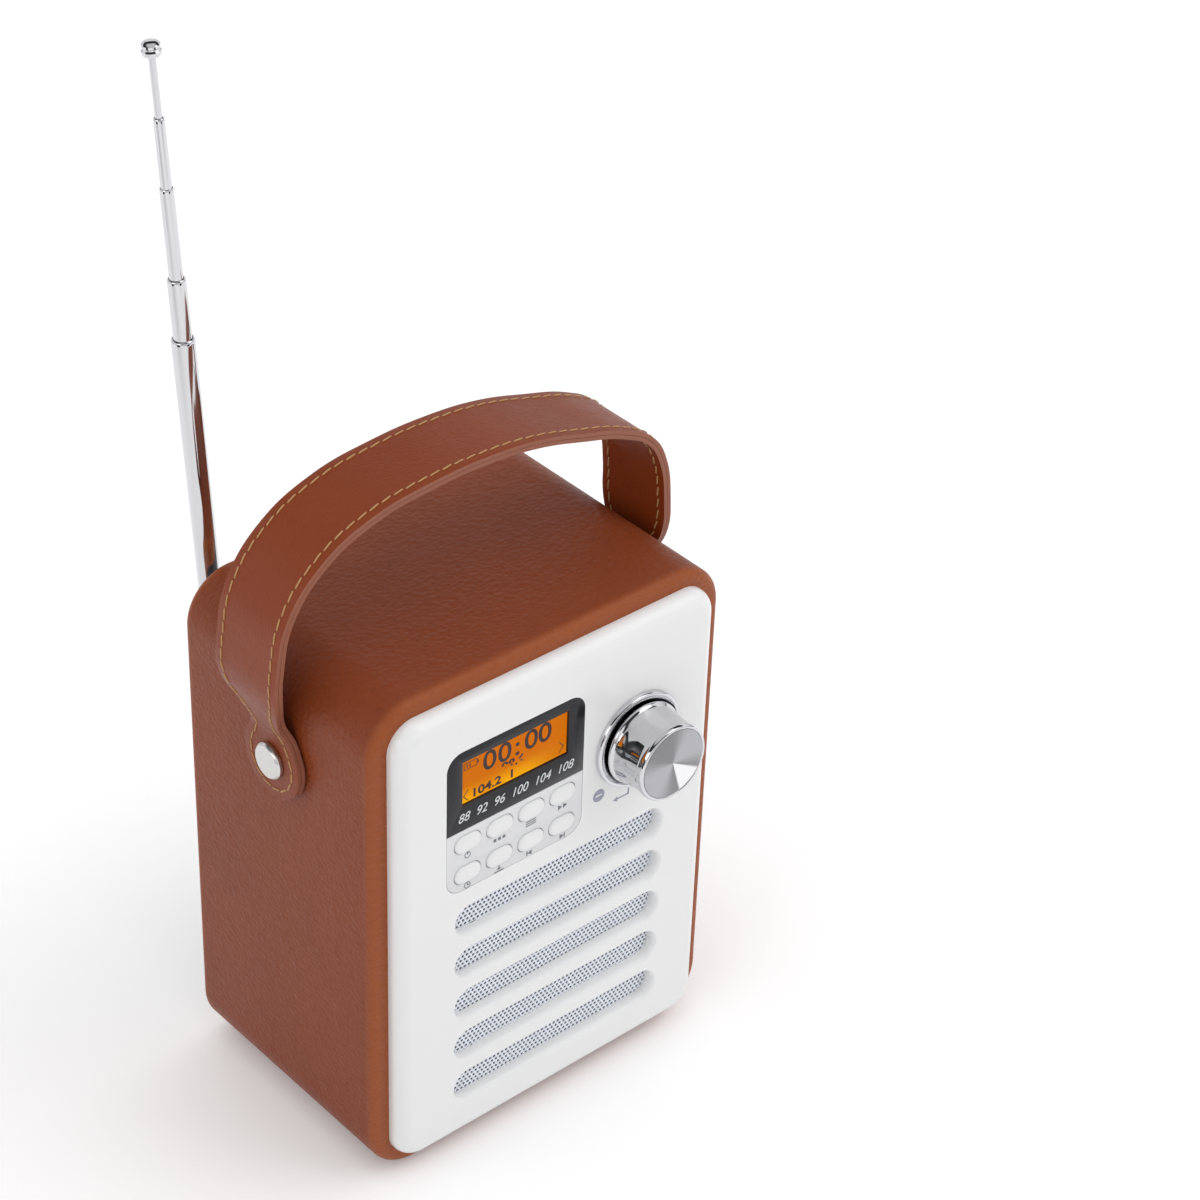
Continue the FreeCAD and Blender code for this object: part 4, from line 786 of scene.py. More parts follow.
def raw_board():
    """Fibreboard: pale brown with short fibres."""
    make = Finish("fibreboard")
    point = make.place()
    fibres = make.noise(make.node("ShaderNodeVectorMath", {"operation": "MULTIPLY"},
                                  {0: point, 1: (0.3, 1.0, 1.0)}), 1200.0, 4.0, 0.7)
    tone = make.blend((0.24, 0.15, 0.085), (0.42, 0.29, 0.18), fibres)
    return make.surface(Base_Color=tone, Roughness=0.85, Normal=make.bump(fibres, 0.08 * MM, 0.5))


def wound_copper():
    """Fine copper turns, with painted shade in the grooves between them and a painted highlight on their
    crests.
    """
    make = Finish("wound_copper")
    turns = (make.axis(make.place(), "Y") * 22000.0).sine() * 0.5 + 0.5
    # painted shade and highlight: the colour follows the relief, darker in the grooves and lighter on the
    # crests
    tone = make.blend((0.45, 0.16, 0.07), (0.85, 0.42, 0.22), turns)
    return make.surface(Base_Color=tone, Metallic=1.0, Roughness=0.3, Normal=make.bump(turns, 0.05 * MM))


def striped(name, first, second, axis, per_metre, roughness=0.45, relief=0.05):
    """Stripes along one axis, as on flat cable or a ribbed mould."""
    make = Finish(name)
    wave = (make.axis(make.place(), axis) * (2 * math.pi * per_metre)).sine() * 0.5 + 0.5
    tone = make.blend(first, second, wave.ramp(0.35, 0.65))
    return make.surface(Base_Color=tone, Roughness=roughness, Normal=make.bump(wave, relief * MM, 0.5))


def back_grain():
    """Black moulding with a spark-eroded grain."""
    make = Finish("back_grain")
    point = make.place()
    pits = make.cells(point, 1500.0, "SMOOTH_F1", 1.0)
    cloud = make.noise(point, 120.0, 3.0)
    tone = make.blend((0.016, 0.016, 0.018), (0.032, 0.032, 0.034), cloud)
    return make.surface(Base_Color=tone, Roughness=0.52 + (cloud - 0.5) * 0.15,
                        Normal=make.bump(pits, 0.12 * MM, 0.6))


# --- cabinet --------------------------------------------------------------------------------------
def leather_skin():
    """The covering: a rounded tube, turned over both rims and as thick as the real one."""
    skin = rounded_block("cabinet_covering", WRAP_LO, WRAP_HI, CABINET_CORNER_R * MM, 24)
    for y in (FRONT_Y, BACK_Y):
        round_rim(skin, y, SKIN_EDGE_R * MM, 8)
    with editing(skin):
        select(skin, "FACE", lambda face: lies_in(1, FRONT_Y)(face) or lies_in(1, BACK_Y)(face))
        bpy.ops.mesh.inset(thickness=(RIM_W - SKIN_EDGE_R) * MM)
        bpy.ops.mesh.delete(type="FACE")
    modify(skin, "SOLIDIFY", thickness=SKIN_T * MM, offset=-1.0, use_even_offset=True)
    for sign in (-1, 1):
        place = (MIDDLE_X + sign * (WRAP_HI[0] - MIDDLE_X), HANDLE_CENTRE.y, HANDLE_CENTRE.z)
        hole = lathe("hole", ((0, -4), (SHANK_R, -4), (SHANK_R, 4), (0, 4)), place, (1, 0, 0), 32)
        cut(skin, hole)
    return smooth(skin, 40.0)


def rubber_feet():
    """Four round feet with a soft edge and a dished underside."""
    lo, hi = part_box("rubber_feet")
    radius = FOOT_R
    profile = ((0, 1.2), (radius, 1.2), (radius, 0.35), (radius - 0.12, 0.12), (radius - 0.4, 0.0),
               (radius - 1.1, 0.0), (radius - 1.5, 0.18), (0, 0.22))
    foot = lathe("rubber_feet_turned", profile, (0, 0, 0), (0, 0, 1), 40)
    places = [Matrix.Translation((x, y, 0.0)) for x in (lo[0] + radius * MM, hi[0] - radius * MM)
              for y in (lo[1] + radius * MM, hi[1] - radius * MM)]
    return smooth(copies(foot, places, "rubber_feet_turned"))


class RADIO_OT_cabinet(bpy.types.Operator):
    """Builds the leather covering, the feet and the wood's finish"""

    bl_idname = "radio.cabinet"
    bl_label = "Cabinet"

    def execute(self, context):
        colours = context.scene.radio_colours
        place_piece(leather_skin(), "cabinet", "brown_leatherette", cabinet_leather(colours), "leather_wrap")
        rubber = moulded("foot_rubber", (0.018, 0.018, 0.018), 0.7, 1400.0, 0.03)
        place_piece(rubber_feet(), "cabinet", "rubber", rubber, "rubber_feet")
        wood = raw_board()
        for node in ("cabinet_shell", "corner_blocks"):
            dress(node, wood)
        return {"FINISHED"}


# --- front panel and grille -----------------------------------------------------------------------
def slot_cutter(z):
    """One speaker slot: its wall curves out and runs level into the panel's face."""
    inner = SLOT_H / 2 - SLOT_FLARE
    depth = PANEL_FACE_T
    turns = [math.radians(a) for a in range(90, -1, -10)]
    lip = [(inner + SLOT_FLARE * (1 - math.sin(a)), -depth * (1 - math.cos(a))) for a in turns]
    end = -depth - OVERCUT
    profile = [(0, end), (inner, end)] + lip + [(inner + SLOT_FLARE, OVERCUT), (0, OVERCUT)]
    centre = (MIDDLE_X + SLOT_X * MM, FACE_Y, z)
    return obround("slot", profile, centre, (SLOT_W - SLOT_H) / 2 * MM, 64)


def slot_heights():
    """Middles of the slots, lowest first."""
    return [BASE_Z + (SLOT_Z0 + i * SLOT_PITCH) * MM for i in range(SLOT_COUNT)]


def round_hole(x, z, radius):
    """A cutter right through the panel's face."""
    depth = PANEL_FACE_T + OVERCUT
    profile = ((0, -depth), (radius, -depth), (radius, OVERCUT), (0, OVERCUT))
    return lathe("hole", profile, (x, FACE_Y, z), steps=64)


def button_middle(name):
    """Middle of one button in the panel's face."""
    lo, hi = BUTTON_BOXES[name]
    return (lo[0] + hi[0]) / 2, (lo[2] + hi[2]) / 2


def button_holes(depth):
    """Cutters for the eight buttons."""
    holes = []
    profile = ((0, -depth), (BUTTON_HOLE_R, -depth), (BUTTON_HOLE_R, OVERCUT), (0, OVERCUT))
    for name in BUTTON_BOXES:
        x, z = button_middle(name)
        holes.append(obround("hole", profile, (x, FACE_Y, z), BUTTON_REACH * MM, 24))
    return holes


def panel_shell():
    """The moulding's face and rim, hollow behind."""
    lo, hi = Vector(PANEL_LO), Vector((PANEL_HI[0], FRONT_Y, PANEL_HI[2]))
    shell = rounded_block("front_moulding", lo, hi, PANEL_CORNER_R * MM, 24)
    round_rim(shell, FACE_Y, PANEL_EDGE_R * MM, 14)
    with editing(shell):
        select(shell, "FACE", lies_in(1, FRONT_Y))
        bpy.ops.mesh.inset(thickness=PANEL_RIM_T * MM)
        depth = FRONT_Y - FACE_Y - PANEL_FACE_T * MM
        bpy.ops.mesh.extrude_region_move(TRANSFORM_OT_translate={"value": (0, -depth, 0)})
    return shell


def panel_spigot():
    """The ring behind the panel that enters the cabinet."""
    inset = Vector((RIM_W + SPIGOT_GAP, 0, RIM_W + SPIGOT_GAP)) * MM
    wall = Vector((SPIGOT_T, 0, SPIGOT_T)) * MM
    back = FRONT_Y + SPIGOT_DEPTH * MM
    rear = FACE_Y + PANEL_FACE_T * MM
    lo = Vector((WRAP_LO[0], rear, WRAP_LO[2])) + inset
    hi = Vector((WRAP_HI[0], back, WRAP_HI[2])) - inset
    outer_r = CABINET_CORNER_R - RIM_W - SPIGOT_GAP
    ring = rounded_block("spigot", lo, hi, outer_r * MM, 10)
    spill = Vector((0, MM, 0))
    core = rounded_block("core", lo + wall - spill, hi - wall + spill, (outer_r - SPIGOT_T) * MM, 10)
    return cut(ring, core)


def panel_bosses():
    """Four screw bosses behind the panel's corners."""
    rear = -PANEL_FACE_T
    end = -(FRONT_Y - FACE_Y) / MM - BOSS_DEPTH
    profile = ((BOSS_BORE_R, end), (BOSS_R, end), (BOSS_R, rear), (0, rear), (0, end + BOSS_DEPTH),
               (BOSS_BORE_R, end + BOSS_DEPTH))
    inset = (RIM_W + BOSS_INSET) * MM
    return [lathe("boss", profile, (x, FACE_Y, z), steps=24)
            for x in (WRAP_LO[0] + inset, WRAP_HI[0] - inset)
            for z in (WRAP_LO[2] + inset, WRAP_HI[2] - inset)]


def label_recess():
    """Cutter for the display and keypad recess."""
    lo = Vector((LABEL_LO[0], FACE_Y - MM, LABEL_LO[2]))
    hi = Vector((LABEL_HI[0], FACE_Y + LABEL_T * MM, BEZEL_HI[2]))
    return rounded_block("recess", lo, hi, LABEL_CORNER_R * MM, 12)


def display_opening():
    """Cutter for the display's frame."""
    grow = Vector((FRAME_MARGIN, 0, FRAME_MARGIN)) * MM
    lo = Vector((WINDOW_LO[0], FACE_Y + LABEL_T * MM / 2, WINDOW_LO[2])) - grow
    hi = Vector((WINDOW_HI[0], FACE_Y + (PANEL_FACE_T + OVERCUT) * MM, WINDOW_HI[2])) + grow
    return rounded_block("opening", lo, hi, MM, 4)


def front_moulding():
    """The white front: pillowed edge, flared slots, recess, openings, spigot and bosses."""
    shell = panel_shell()
    through = [slot_cutter(z) for z in slot_heights()]
    through.append(round_hole(KNOB_CENTRE.x, KNOB_CENTRE.z, KNOB_HOLE_R))
    through.append(label_recess())
    cut(shell, join(through, "cutters"))
    cut(shell, join([display_opening()] + button_holes(PANEL_FACE_T + OVERCUT), "cutters"))
    shell = join([shell, panel_spigot()] + panel_bosses(), "front_moulding")
    smooth(shell, 32.0)
    return modify(shell, "WEIGHTED_NORMAL", keep_sharp=True, weight=60)


def grille_cell(sizes):
    """One oblong of sheet with a round hole in its middle."""
    clear_selection()
    bpy.ops.mesh.primitive_grid_add(x_subdivisions=2, y_subdivisions=2, size=sizes.hole_pitch,
                                    rotation=(math.pi / 2, 0, 0))
    cell = bpy.context.object
    settle(cell)
    round_profile = 0.0858      # makes a vertex bevel's two segments meet on a circle
    with editing(cell):
        bpy.ops.mesh.select_all(action="SELECT")
        bpy.ops.transform.resize(value=(1, 1, sizes.row_pitch / sizes.hole_pitch))
        select(cell, "VERT", lambda vert: vert.co.length < 1e-6)
        bpy.ops.mesh.bevel(offset=sizes.hole_radius, segments=2, profile=round_profile, affect="VERTICES")
        select(cell, "FACE", lambda face: face.calc_center_median().length < sizes.hole_radius)
        bpy.ops.mesh.delete(type="FACE")
    return cell


def perforated_grille(sizes):
    """The punched sheet: staggered rows of holes, cut away round the speaker's screw bosses."""
    lo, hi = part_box("speaker_grille")
    pitch, row = sizes.hole_pitch, sizes.row_pitch
    cell = grille_cell(sizes)
    shifted = duplicate(cell, Matrix.Translation((pitch / 2, 0, row)))
    sheet = join([cell, shifted], "perforated_grille")
    count_x = int((hi[0] - lo[0]) / pitch) - 1
    count_z = int((hi[2] - lo[2]) / row / 2)
    for count, step in ((count_x, (pitch, 0, 0)), (count_z, (0, 0, 2 * row))):
        modify(sheet, "ARRAY", count=count, use_relative_offset=False, use_constant_offset=True,
               constant_offset_displace=step, use_merge_vertices=True, merge_threshold=1e-6)
    middle = Vector(((lo[0] + hi[0]) / 2, lo[1] + GRILLE_T * MM / 2, (lo[2] + hi[2]) / 2))
    start = middle - Vector(((count_x - 0.5) * pitch, 0, (2 * count_z - 1) * row)) / 2
    sheet.data.transform(Matrix.Translation(start))
    bosses = [middle + Vector((sx * SPEAKER_BOSS_X, 0, sz * SPEAKER_BOSS_Z)) * MM
              for sx in (-1, 1) for sz in (-1, 1)]
    with editing(sheet):
        select(sheet, "FACE", lambda face: min((face.calc_center_median() - boss).length
                                               for boss in bosses) < SPEAKER_BOSS_GAP_R * MM)
        bpy.ops.mesh.delete(type="FACE")
    modify(sheet, "SOLIDIFY", thickness=GRILLE_T * MM, offset=0.0)
    return tidy_normals(sheet)


class RADIO_OT_front_panel(bpy.types.Operator):
    """Builds the white front moulding"""

    bl_idname = "radio.front_panel"
    bl_label = "Front panel"

    def execute(self, context):
        white = panel_gloss(context.scene.radio_colours)
        place_piece(front_moulding(), "cabinet", "white_plastic", white, "front_panel")
        return {"FINISHED"}


class RADIO_OT_grille(bpy.types.Operator):
    """Builds the perforated sheet behind the slots"""

    bl_idname = "radio.grille"
    bl_label = "Speaker grille"

    def execute(self, context):
        paint = moulded("grille_paint_fine", (0.74, 0.77, 0.84), 0.4, 2500.0, 0.01, 0.03)
        sheet = perforated_grille(context.scene.radio_sizes)
        place_piece(sheet, "cabinet", "grille_paint", paint, "speaker_grille")
        return {"FINISHED"}


# --- display and keypad ---------------------------------------------------------------------------
def inset_box(lo, hi, gap, front=0.0):
    """Two corners drawn in by a gap in X and Z, and moved back at the front."""
    shrink = Vector((gap, 0, gap))
    return Vector(lo) + shrink + Vector((0, front, 0)), Vector(hi) - shrink


def display_bezel():
    """The black surround with its window opening."""
    lo, hi = inset_box(BEZEL_LO, BEZEL_HI, SEAM_GAP * MM)
    bezel = rounded_block("display_bezel", lo, hi, LABEL_CORNER_R * MM, 14,
                          lambda edge: edge.verts[0].co.z > hi.z - MM)
    slack = Vector((0, MM, 0))
    cut(bezel, block("opening", Vector(WINDOW_LO) - slack, Vector(WINDOW_HI) + slack))
    return smooth(soften(bezel, 0.12 * MM, 2, 50.0))


def window_pane():
    """The clear pane, its front edge just broken."""
    lo, hi = inset_box(WINDOW_LO, WINDOW_HI, 0.02 * MM)
    return smooth(soften(rounded_block("window_pane", lo, hi, 0.4 * MM, 4), 0.08 * MM, 2, 50.0))


def figure_at(name, body, size, share_x, share_z, y, squeeze=1.0):
    """Figures placed by their share of the window's width and height."""
    x = WINDOW_LO[0] + share_x * (WINDOW_HI[0] - WINDOW_LO[0])
    z = WINDOW_LO[2] + share_z * (WINDOW_HI[2] - WINDOW_LO[2])
    return lettering(name, body, size, (x, y, z), squeeze, 0.0, 0.03, FIGURE_WEIGHT)


def battery_mark(y):
    """The outline of a cell with its charge bars."""
    x0 = WINDOW_LO[0] + 3.2 * MM
    z0 = WINDOW_HI[2] - 2.4 * MM
    bars = [(0, 0.95, 4.2, 0.22), (0, -0.95, 4.2, 0.22), (-2.1, 0, 0.22, 2.1), (2.1, 0, 0.22, 2.1),
            (2.45, 0, 0.4, 1.0), (-1.1, 0, 0.4, 1.1), (-0.2, 0, 0.4, 1.1)]
    return [bar("cell", x0 + x * MM, z0 + z * MM, y, w, h, 0.03) for x, z, w, h in bars]


def chevron(x, z, y, way):
    """An arrow head made of two thin bars."""
    lean = math.radians(50.0)
    return [bar("arrow", x, z + s * 0.85 * MM, y, 2.3, 0.26, 0.03, -s * way * lean) for s in (-1, 1)]


def display_figures():
    """Everything the display shows: a clock, two lines of figures, a cell and two arrows."""
    y = WINDOW_HI[1] - 0.03 * MM
    made = [figure_at("figures", body, 8.4, share, 0.70, y, 1.12)
            for body, share in (("0", 0.27), ("0", 0.41), (":", 0.53), ("0", 0.66), ("0", 0.79))]
    made += [figure_at("figures", body, 3.6, share, height, y, 1.25)
             for body, share, height in (("98.6", 0.49, 0.38), ("104.2", 0.24, 0.13), ("1", 0.48, 0.13))]
    made += battery_mark(y)
    made += chevron(WINDOW_LO[0] + 1.7 * MM, WINDOW_LO[2] + 2.1 * MM, y, 1)
    made += chevron(WINDOW_HI[0] - 1.7 * MM, WINDOW_LO[2] + 2.6 * MM, y, -1)
    return join(made, "display_figures")


def display_cell():
    """The liquid-crystal sandwich: two glasses with a step along one edge."""
    lo, hi = (Vector(corner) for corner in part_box("lcd_cell"))
    half = (hi.y - lo.y) / 2
    ledge = Vector((0, 0, 1.2 * MM))
    front = block("glass", lo, (hi.x, lo.y + half - 0.02 * MM, hi.z))
    rear = block("glass", (lo.x, lo.y + half, lo.z), hi - ledge)
    return smooth(soften(join([front, rear], "display_glass"), 0.05 * MM, 1, 50.0))


def bezel_scale():
    """A row of plain tuning figures on the surround."""
    low = (WINDOW_LO[2] + BEZEL_LO[2]) / 2
    x = (BEZEL_LO[0] + BEZEL_HI[0]) / 2
    middle = (x, BEZEL_LO[1] - 0.02 * MM, low)
    return lettering("tuning_figures", "88  92  96  100  104  108", 3.9, middle, 0.96, 0.28, 0.05)


class RADIO_OT_display(bpy.types.Operator):
    """Builds the surround, the window and the lit display"""

    bl_idname = "radio.display"
    bl_label = "Display"

    def execute(self, context):
        colours = context.scene.radio_colours
        place_piece(display_bezel(), "cabinet", "black_gloss", bezel_gloss(colours), "display_surround")
        place_piece(window_pane(), "cabinet", "clear_window", clear_pane(), "display_window")
        place_piece(display_cell(), "cabinet", "lcd_orange", lit_display(colours), "lcd_cell")
        ink = moulded("display_ink", (0.02, 0.003, 0.001), 0.5, 2000.0, 0.005, 0.1)
        place_piece(display_figures(), "cabinet", "lcd_orange", ink)
        silver = moulded("silver_print", (0.62, 0.63, 0.65), 0.4, 2500.0, 0.01, 0.08)
        place_piece(bezel_scale(), "cabinet", "black_gloss", silver)
        dress("lcd_light_guide", moulded("light_guide_clear", (0.85, 0.42, 0.06), 0.2, 400.0, 0.01))
        dress("lcd_frame", moulded("frame_moulding", (0.03, 0.03, 0.033), 0.5, 1200.0, 0.03))
        return {"FINISHED"}


def keypad_plate():
    """The grey label with its eight openings."""
    lo, hi = inset_box(LABEL_LO, LABEL_HI, SEAM_GAP * MM)
    plate = rounded_block("keypad_plate", lo, hi, LABEL_CORNER_R * MM, 14,
                          lambda edge: edge.verts[0].co.z < lo.z + MM)
    cut(plate, join(button_holes(LABEL_T + OVERCUT), "cutters"))
    return smooth(soften(plate, 0.12 * MM, 2, 50.0))


def triangle(x, z, y, size, way):
    """A small printed arrow head that points left or right."""
    clear_selection()
    bpy.ops.mesh.primitive_cylinder_add(vertices=3, radius=size * MM / 2, depth=0.05 * MM,
                                        rotation=(math.pi / 2, way * math.pi / 2, 0), location=(x, y, z))
    return settle(bpy.context.object)


def ring_mark(x, z, y, radius, width=0.22):
    """A small printed ring."""
    profile = ((radius - width, 0), (radius, 0), (radius, 0.05), (radius - width, 0.05))
    return lathe("ring", profile, (x, y + 0.02 * MM, z), steps=24)


def key_mark(kind, x, z, y):
    """One printed mark under a button, made of bars, rings and arrow heads."""
    u = MARK_SCALE

    def line(dx, dz, width, height):
        return bar("mark", x + dx * u * MM, z + dz * u * MM, y, width * u, height * u)

    if kind == "standby":
        return [ring_mark(x, z, y, 0.8 * u), line(0, 0.55, 0.26, 0.9)]
    if kind == "mode":
        return [line(i * 1.2, 0, 0.75, 0.75) for i in (-1, 0, 1)]
    if kind == "menu":
        return [line(0, i * 0.55, 2.8, 0.26) for i in (-1, 0, 1)]
    if kind == "scan":
        return [triangle(x + i * 0.7 * u * MM, z, y, 1.5 * u, 1) for i in (-1, 1)]
    if kind == "timer":
        return [ring_mark(x, z, y, 0.85 * u), line(0, 0.24, 0.22, 0.55), line(0.22, 0, 0.55, 0.22)]
    if kind == "store":
        return [line(0, -0.65, 2.6, 0.26), line(0, 0.25, 0.26, 1.1), line(0, 0, 1.2, 0.26)]
    way = 1 if kind == "next" else -1
    return [triangle(x, z, y, 1.5 * u, way), line(way * 0.9, 0, 0.28, 1.3)]


def keypad_marks():
    """The marks under the eight buttons."""
    kinds = ("standby", "mode", "menu", "scan", "timer", "store", "previous", "next")
    y = LABEL_LO[1] - PRINT_LIFT * MM
    made = []
    for kind, name in zip(kinds, BUTTON_BOXES):
        x, z = button_middle(name)
        made += key_mark(kind, x, z - MARK_DROP * MM, y)
    return join(made, "keypad_marks")


def panel_marks():
    """The minus, push and plus marks round the knob."""
    y = FACE_Y - PRINT_LIFT * MM
    z = BASE_Z + DISC_Z * MM
    low = BASE_Z + ARROW_Z * MM
    left = KNOB_CENTRE.x - DISC_X * MM
    right = KNOB_CENTRE.x + DISC_X * MM
    profile = ((0, 0), (DISC_R, 0), (DISC_R, 0.04), (0, 0.04))
    discs = [lathe("disc", profile, (x, y + 0.02 * MM, z), steps=32) for x in (left, right)]
    bars = [(left, 2.3, 0.55), (right, 2.3, 0.55), (right, 0.55, 2.3)]
    cutters = [bar("cutter", x, z, y, w, h, 1.0) for x, w, h in bars]
    discs = join(discs, "discs")
    for cutter in cutters:
        cut(discs, cutter)
    arrow = [triangle(left + 6.2 * MM, low, y, 2.0, -1), bar("mark", left + 8.6 * MM, low, y, 4.4, 0.45),
             bar("mark", left + 10.6 * MM, low + 0.9 * MM, y, 0.45, 2.0)]
    return join([discs] + arrow, "panel_marks")


def button_cap(dome):
    """One button: a crowned oblong cap with its flange and stem, modelled about its own middle."""
    top = 0.9
    crown = dome / MM
    profile = ((0, top), (0.9, top - 0.06 * crown), (1.7, top - 0.35 * crown), (2.3, top - crown),
               (2.58, top - crown - 0.22), (2.7, top - crown - 0.5), (2.7, -3.35), (3.5, -3.35),
               (3.5, -4.15), (0, -4.15))
    cap = obround("button", profile, (0, 0, 0), BUTTON_REACH * MM, 40)
    stem = lathe("stem", ((0, -8.2), (1.6, -8.2), (1.6, -4.0), (0, -4.0)), (0, 0, 0), steps=24)
    return smooth(join([cap, stem], "button"), 40.0)


class RADIO_OT_keypad(bpy.types.Operator):
    """Builds the keypad label, its marks and the eight buttons"""

    bl_idname = "radio.keypad"
    bl_label = "Keypad"

    def execute(self, context):
        colours = context.scene.radio_colours
        place_piece(keypad_plate(), "cabinet", "keypad_grey", keypad_film(colours), "keypad_label")
        ink = moulded("grey_print", tuple(colours.print_grey), 0.5, 2500.0, 0.01, 0.1)
        place_piece(keypad_marks(), "cabinet", "keypad_grey", ink)
        blue_grey = moulded("panel_print", (0.27, 0.28, 0.35), 0.4, 2500.0, 0.01, 0.06)
        place_piece(panel_marks(), "cabinet", "white_plastic", blue_grey)
        white = moulded("button_satin", (0.74, 0.74, 0.745), 0.30, 900.0, 0.006, 0.02, 0.1)
        template = button_cap(context.scene.radio_sizes.button_dome)
        for number, name in enumerate(BUTTON_BOXES, 1):
            x, z = button_middle(name)
            cap = duplicate(template, Matrix.Translation((x, FACE_Y, z)))
            cap.name = f"keypad_button_{number}"
            place_piece(cap, f"key_{number}", "button_white", white, name)
        bpy.data.objects.remove(template)
        return {"FINISHED"}


# --- knob -----------------------------------------------------------------------------------------
class RADIO_OT_knob(bpy.types.Operator):
    """Builds the knob, its dished ring and its spun face"""

    bl_idname = "radio.knob"
    bl_label = "Knob"

    def execute(self, context):
        colour = tuple(context.scene.radio_colours.chrome)
        chrome = metal("knob_chrome", colour, 0.06, grain=300.0, relief=0.001)
        ring = smooth(lathe("knob_ring_turned", RING_PROFILE, KNOB_CENTRE, steps=96), 50.0)
        place_piece(ring, "cabinet", "chrome", chrome, "knob_ring")
        body = smooth(lathe("knob_turned", KNOB_PROFILE, KNOB_CENTRE, steps=96), 50.0)
        place_piece(body, "knob_set", "chrome", chrome, "knob")
        face = smooth(lathe("knob_face_spun", FACE_PROFILE, KNOB_CENTRE, steps=96))
        place_piece(face, "knob_set", "spun_metal", spun_face_painted_reflection(), "knob_face")
        dress("encoder_shaft", metal("machined_shaft", (0.66, 0.66, 0.67), 0.3, (1.0, 0.1, 1.0)))
        dress("encoder_rotor", moulded("rotor_moulding", (0.03, 0.03, 0.03), 0.5))
        dress("encoder_housing", metal("encoder_steel", (0.55, 0.55, 0.54), 0.35, (1.0, 0.1, 0.3)))
        return {"FINISHED"}


# --- handle ---------------------------------------------------------------------------------------
def flowing(knots, s):
    """A smooth curve through (place, value) knots."""
    last = len(knots) - 1
    if s <= knots[0][0]:
        return knots[0][1]
    if s >= knots[last][0]:
        return knots[last][1]
    i = next(k for k in range(last) if knots[k + 1][0] >= s)

    def slope(k):
        low, high = max(k - 1, 0), min(k + 1, last)
        return (knots[high][1] - knots[low][1]) / (knots[high][0] - knots[low][0])

    span = knots[i + 1][0] - knots[i][0]
    t = (s - knots[i][0]) / span
    start, end = knots[i][1], knots[i + 1][1]
    pull = (start - end) * (2 * t ** 3 - 3 * t ** 2) + start
    return pull + span * (slope(i) * (t ** 3 - 2 * t ** 2 + t) + slope(i + 1) * (t ** 3 - t ** 2))


def half_width(s, inset=0.0):
    """Half the strap's width at a distance from its end, less an inset, in millimetres."""
    if s < NECK[0][0]:
        radius = TAB_R - inset
        return math.sqrt(max(radius ** 2 - (s - TAB_R) ** 2, 0.0))
    slope = (flowing(NECK, s + 0.5) - flowing(NECK, s - 0.5)) if s > NECK[0][0] + 0.5 else -0.7
    return flowing(NECK, s) - inset * math.sqrt(1 + slope ** 2)


def strap_line():
    """The strap's outer line in the XY plane: up from the left tab, over, and down to the right one."""
    a = STRAP_OUTER_X
    points = [(-a, -TAB_R), (-a, 7.0), (-a - 3.0, 15.0), (-a - 6.8, 25.0), (-a - 6.5, 37.0),
              (-a - 2.8, 51.0), (-a + 8.0, 63.4), (-a + 23.5, 70.7), (-a + 42.0, 73.6), (0.0, 74.0),
              (a - 46.5, 72.4), (a - 31.5, 68.6), (a - 15.8, 63.4), (a - 6.2, 57.4), (a - 1.4, 48.8),
              (a + 0.6, 37.0), (a + 0.5, 20.0), (a, 7.0), (a, -TAB_R)]
    clear_selection()
    bpy.ops.curve.primitive_bezier_curve_add()
    line = bpy.context.object
    line.name = "strap_line"
    line.data.dimensions = "2D"
    line.data.resolution_u = 24
    spline = line.data.splines[0]
    spline.bezier_points.add(len(points) - 2)
    for knot, (x, y) in zip(spline.bezier_points, points):
        knot.co = Vector((x, y, 0)) * MM
        knot.handle_left_type = knot.handle_right_type = "AUTO"
    bpy.context.view_layer.update()
    for knot, rising in ((spline.bezier_points[1], 1), (spline.bezier_points[-2], -1)):
        knot.handle_left_type = knot.handle_right_type = "FREE"
        knot.handle_left = knot.co - Vector((0, rising * 3.0 * MM, 0))
        knot.handle_right = knot.co + Vector((0, rising * 3.0 * MM, 0))
    return line


def strap_stations(length):
    """Distances along the strap: close together round the tabs, even elsewhere."""
    near = [TAB_R * (1 - math.cos(math.radians(a))) for a in range(0, 120, 8)]
    count = int((length / 2 - near[-1]) / 1.6)
    step = (length / 2 - near[-1]) / count
    first = near + [near[-1] + step * (i + 1) for i in range(count)]
    return first + [length - s for s in reversed(first[:-1])]


def strap_layer(length, y, thickness, name):
    """One flat layer of leather, extruded from a line of points and widened station by station."""
    rows = 10
    tip = 0.05
    stations = strap_stations(length)
    layer = line_of(name, [Vector((0, 0, (2 * i / rows - 1) * tip * MM)) for i in range(rows + 1)])
    with editing(layer):
        bpy.ops.mesh.select_all(action="SELECT")
        width = tip
        for before, after in zip(stations, stations[1:]):
            wanted = max(half_width(min(after, length - after)), tip)
            step = ((after - before) * MM, 0, 0)
            bpy.ops.mesh.extrude_region_move(TRANSFORM_OT_translate={"value": step})
            bpy.ops.transform.resize(value=(1, 1, wanted / width))
            width = wanted
    tidy_normals(layer)
    modify(layer, "SOLIDIFY", thickness=thickness * MM, offset=0.0)
    soften(layer, 0.3 * MM, 3, 50.0)
    layer.data.transform(Matrix.Translation((0, y * MM, 0)))
    return layer


def stitch_route(length):
    """The stitching's line on the flat strap, all round, as points in millimetres."""
    ends = [TAB_R - (TAB_R - STITCH_INSET) * math.cos(math.radians(a)) for a in range(0, 136, 3)]
    count = int(length / 2 - ends[-1])
    run = [ends[-1] + (length / 2 - ends[-1]) * (i + 1) / count for i in range(count)]
    half = ends + run
    along = half + [length - s for s in reversed(half[:-1])]
    upper = [(s, half_width(min(s, length - s), STITCH_INSET)) for s in along]
    return upper + [(s, -w) for s, w in reversed(upper[1:-1])] + upper[:1]


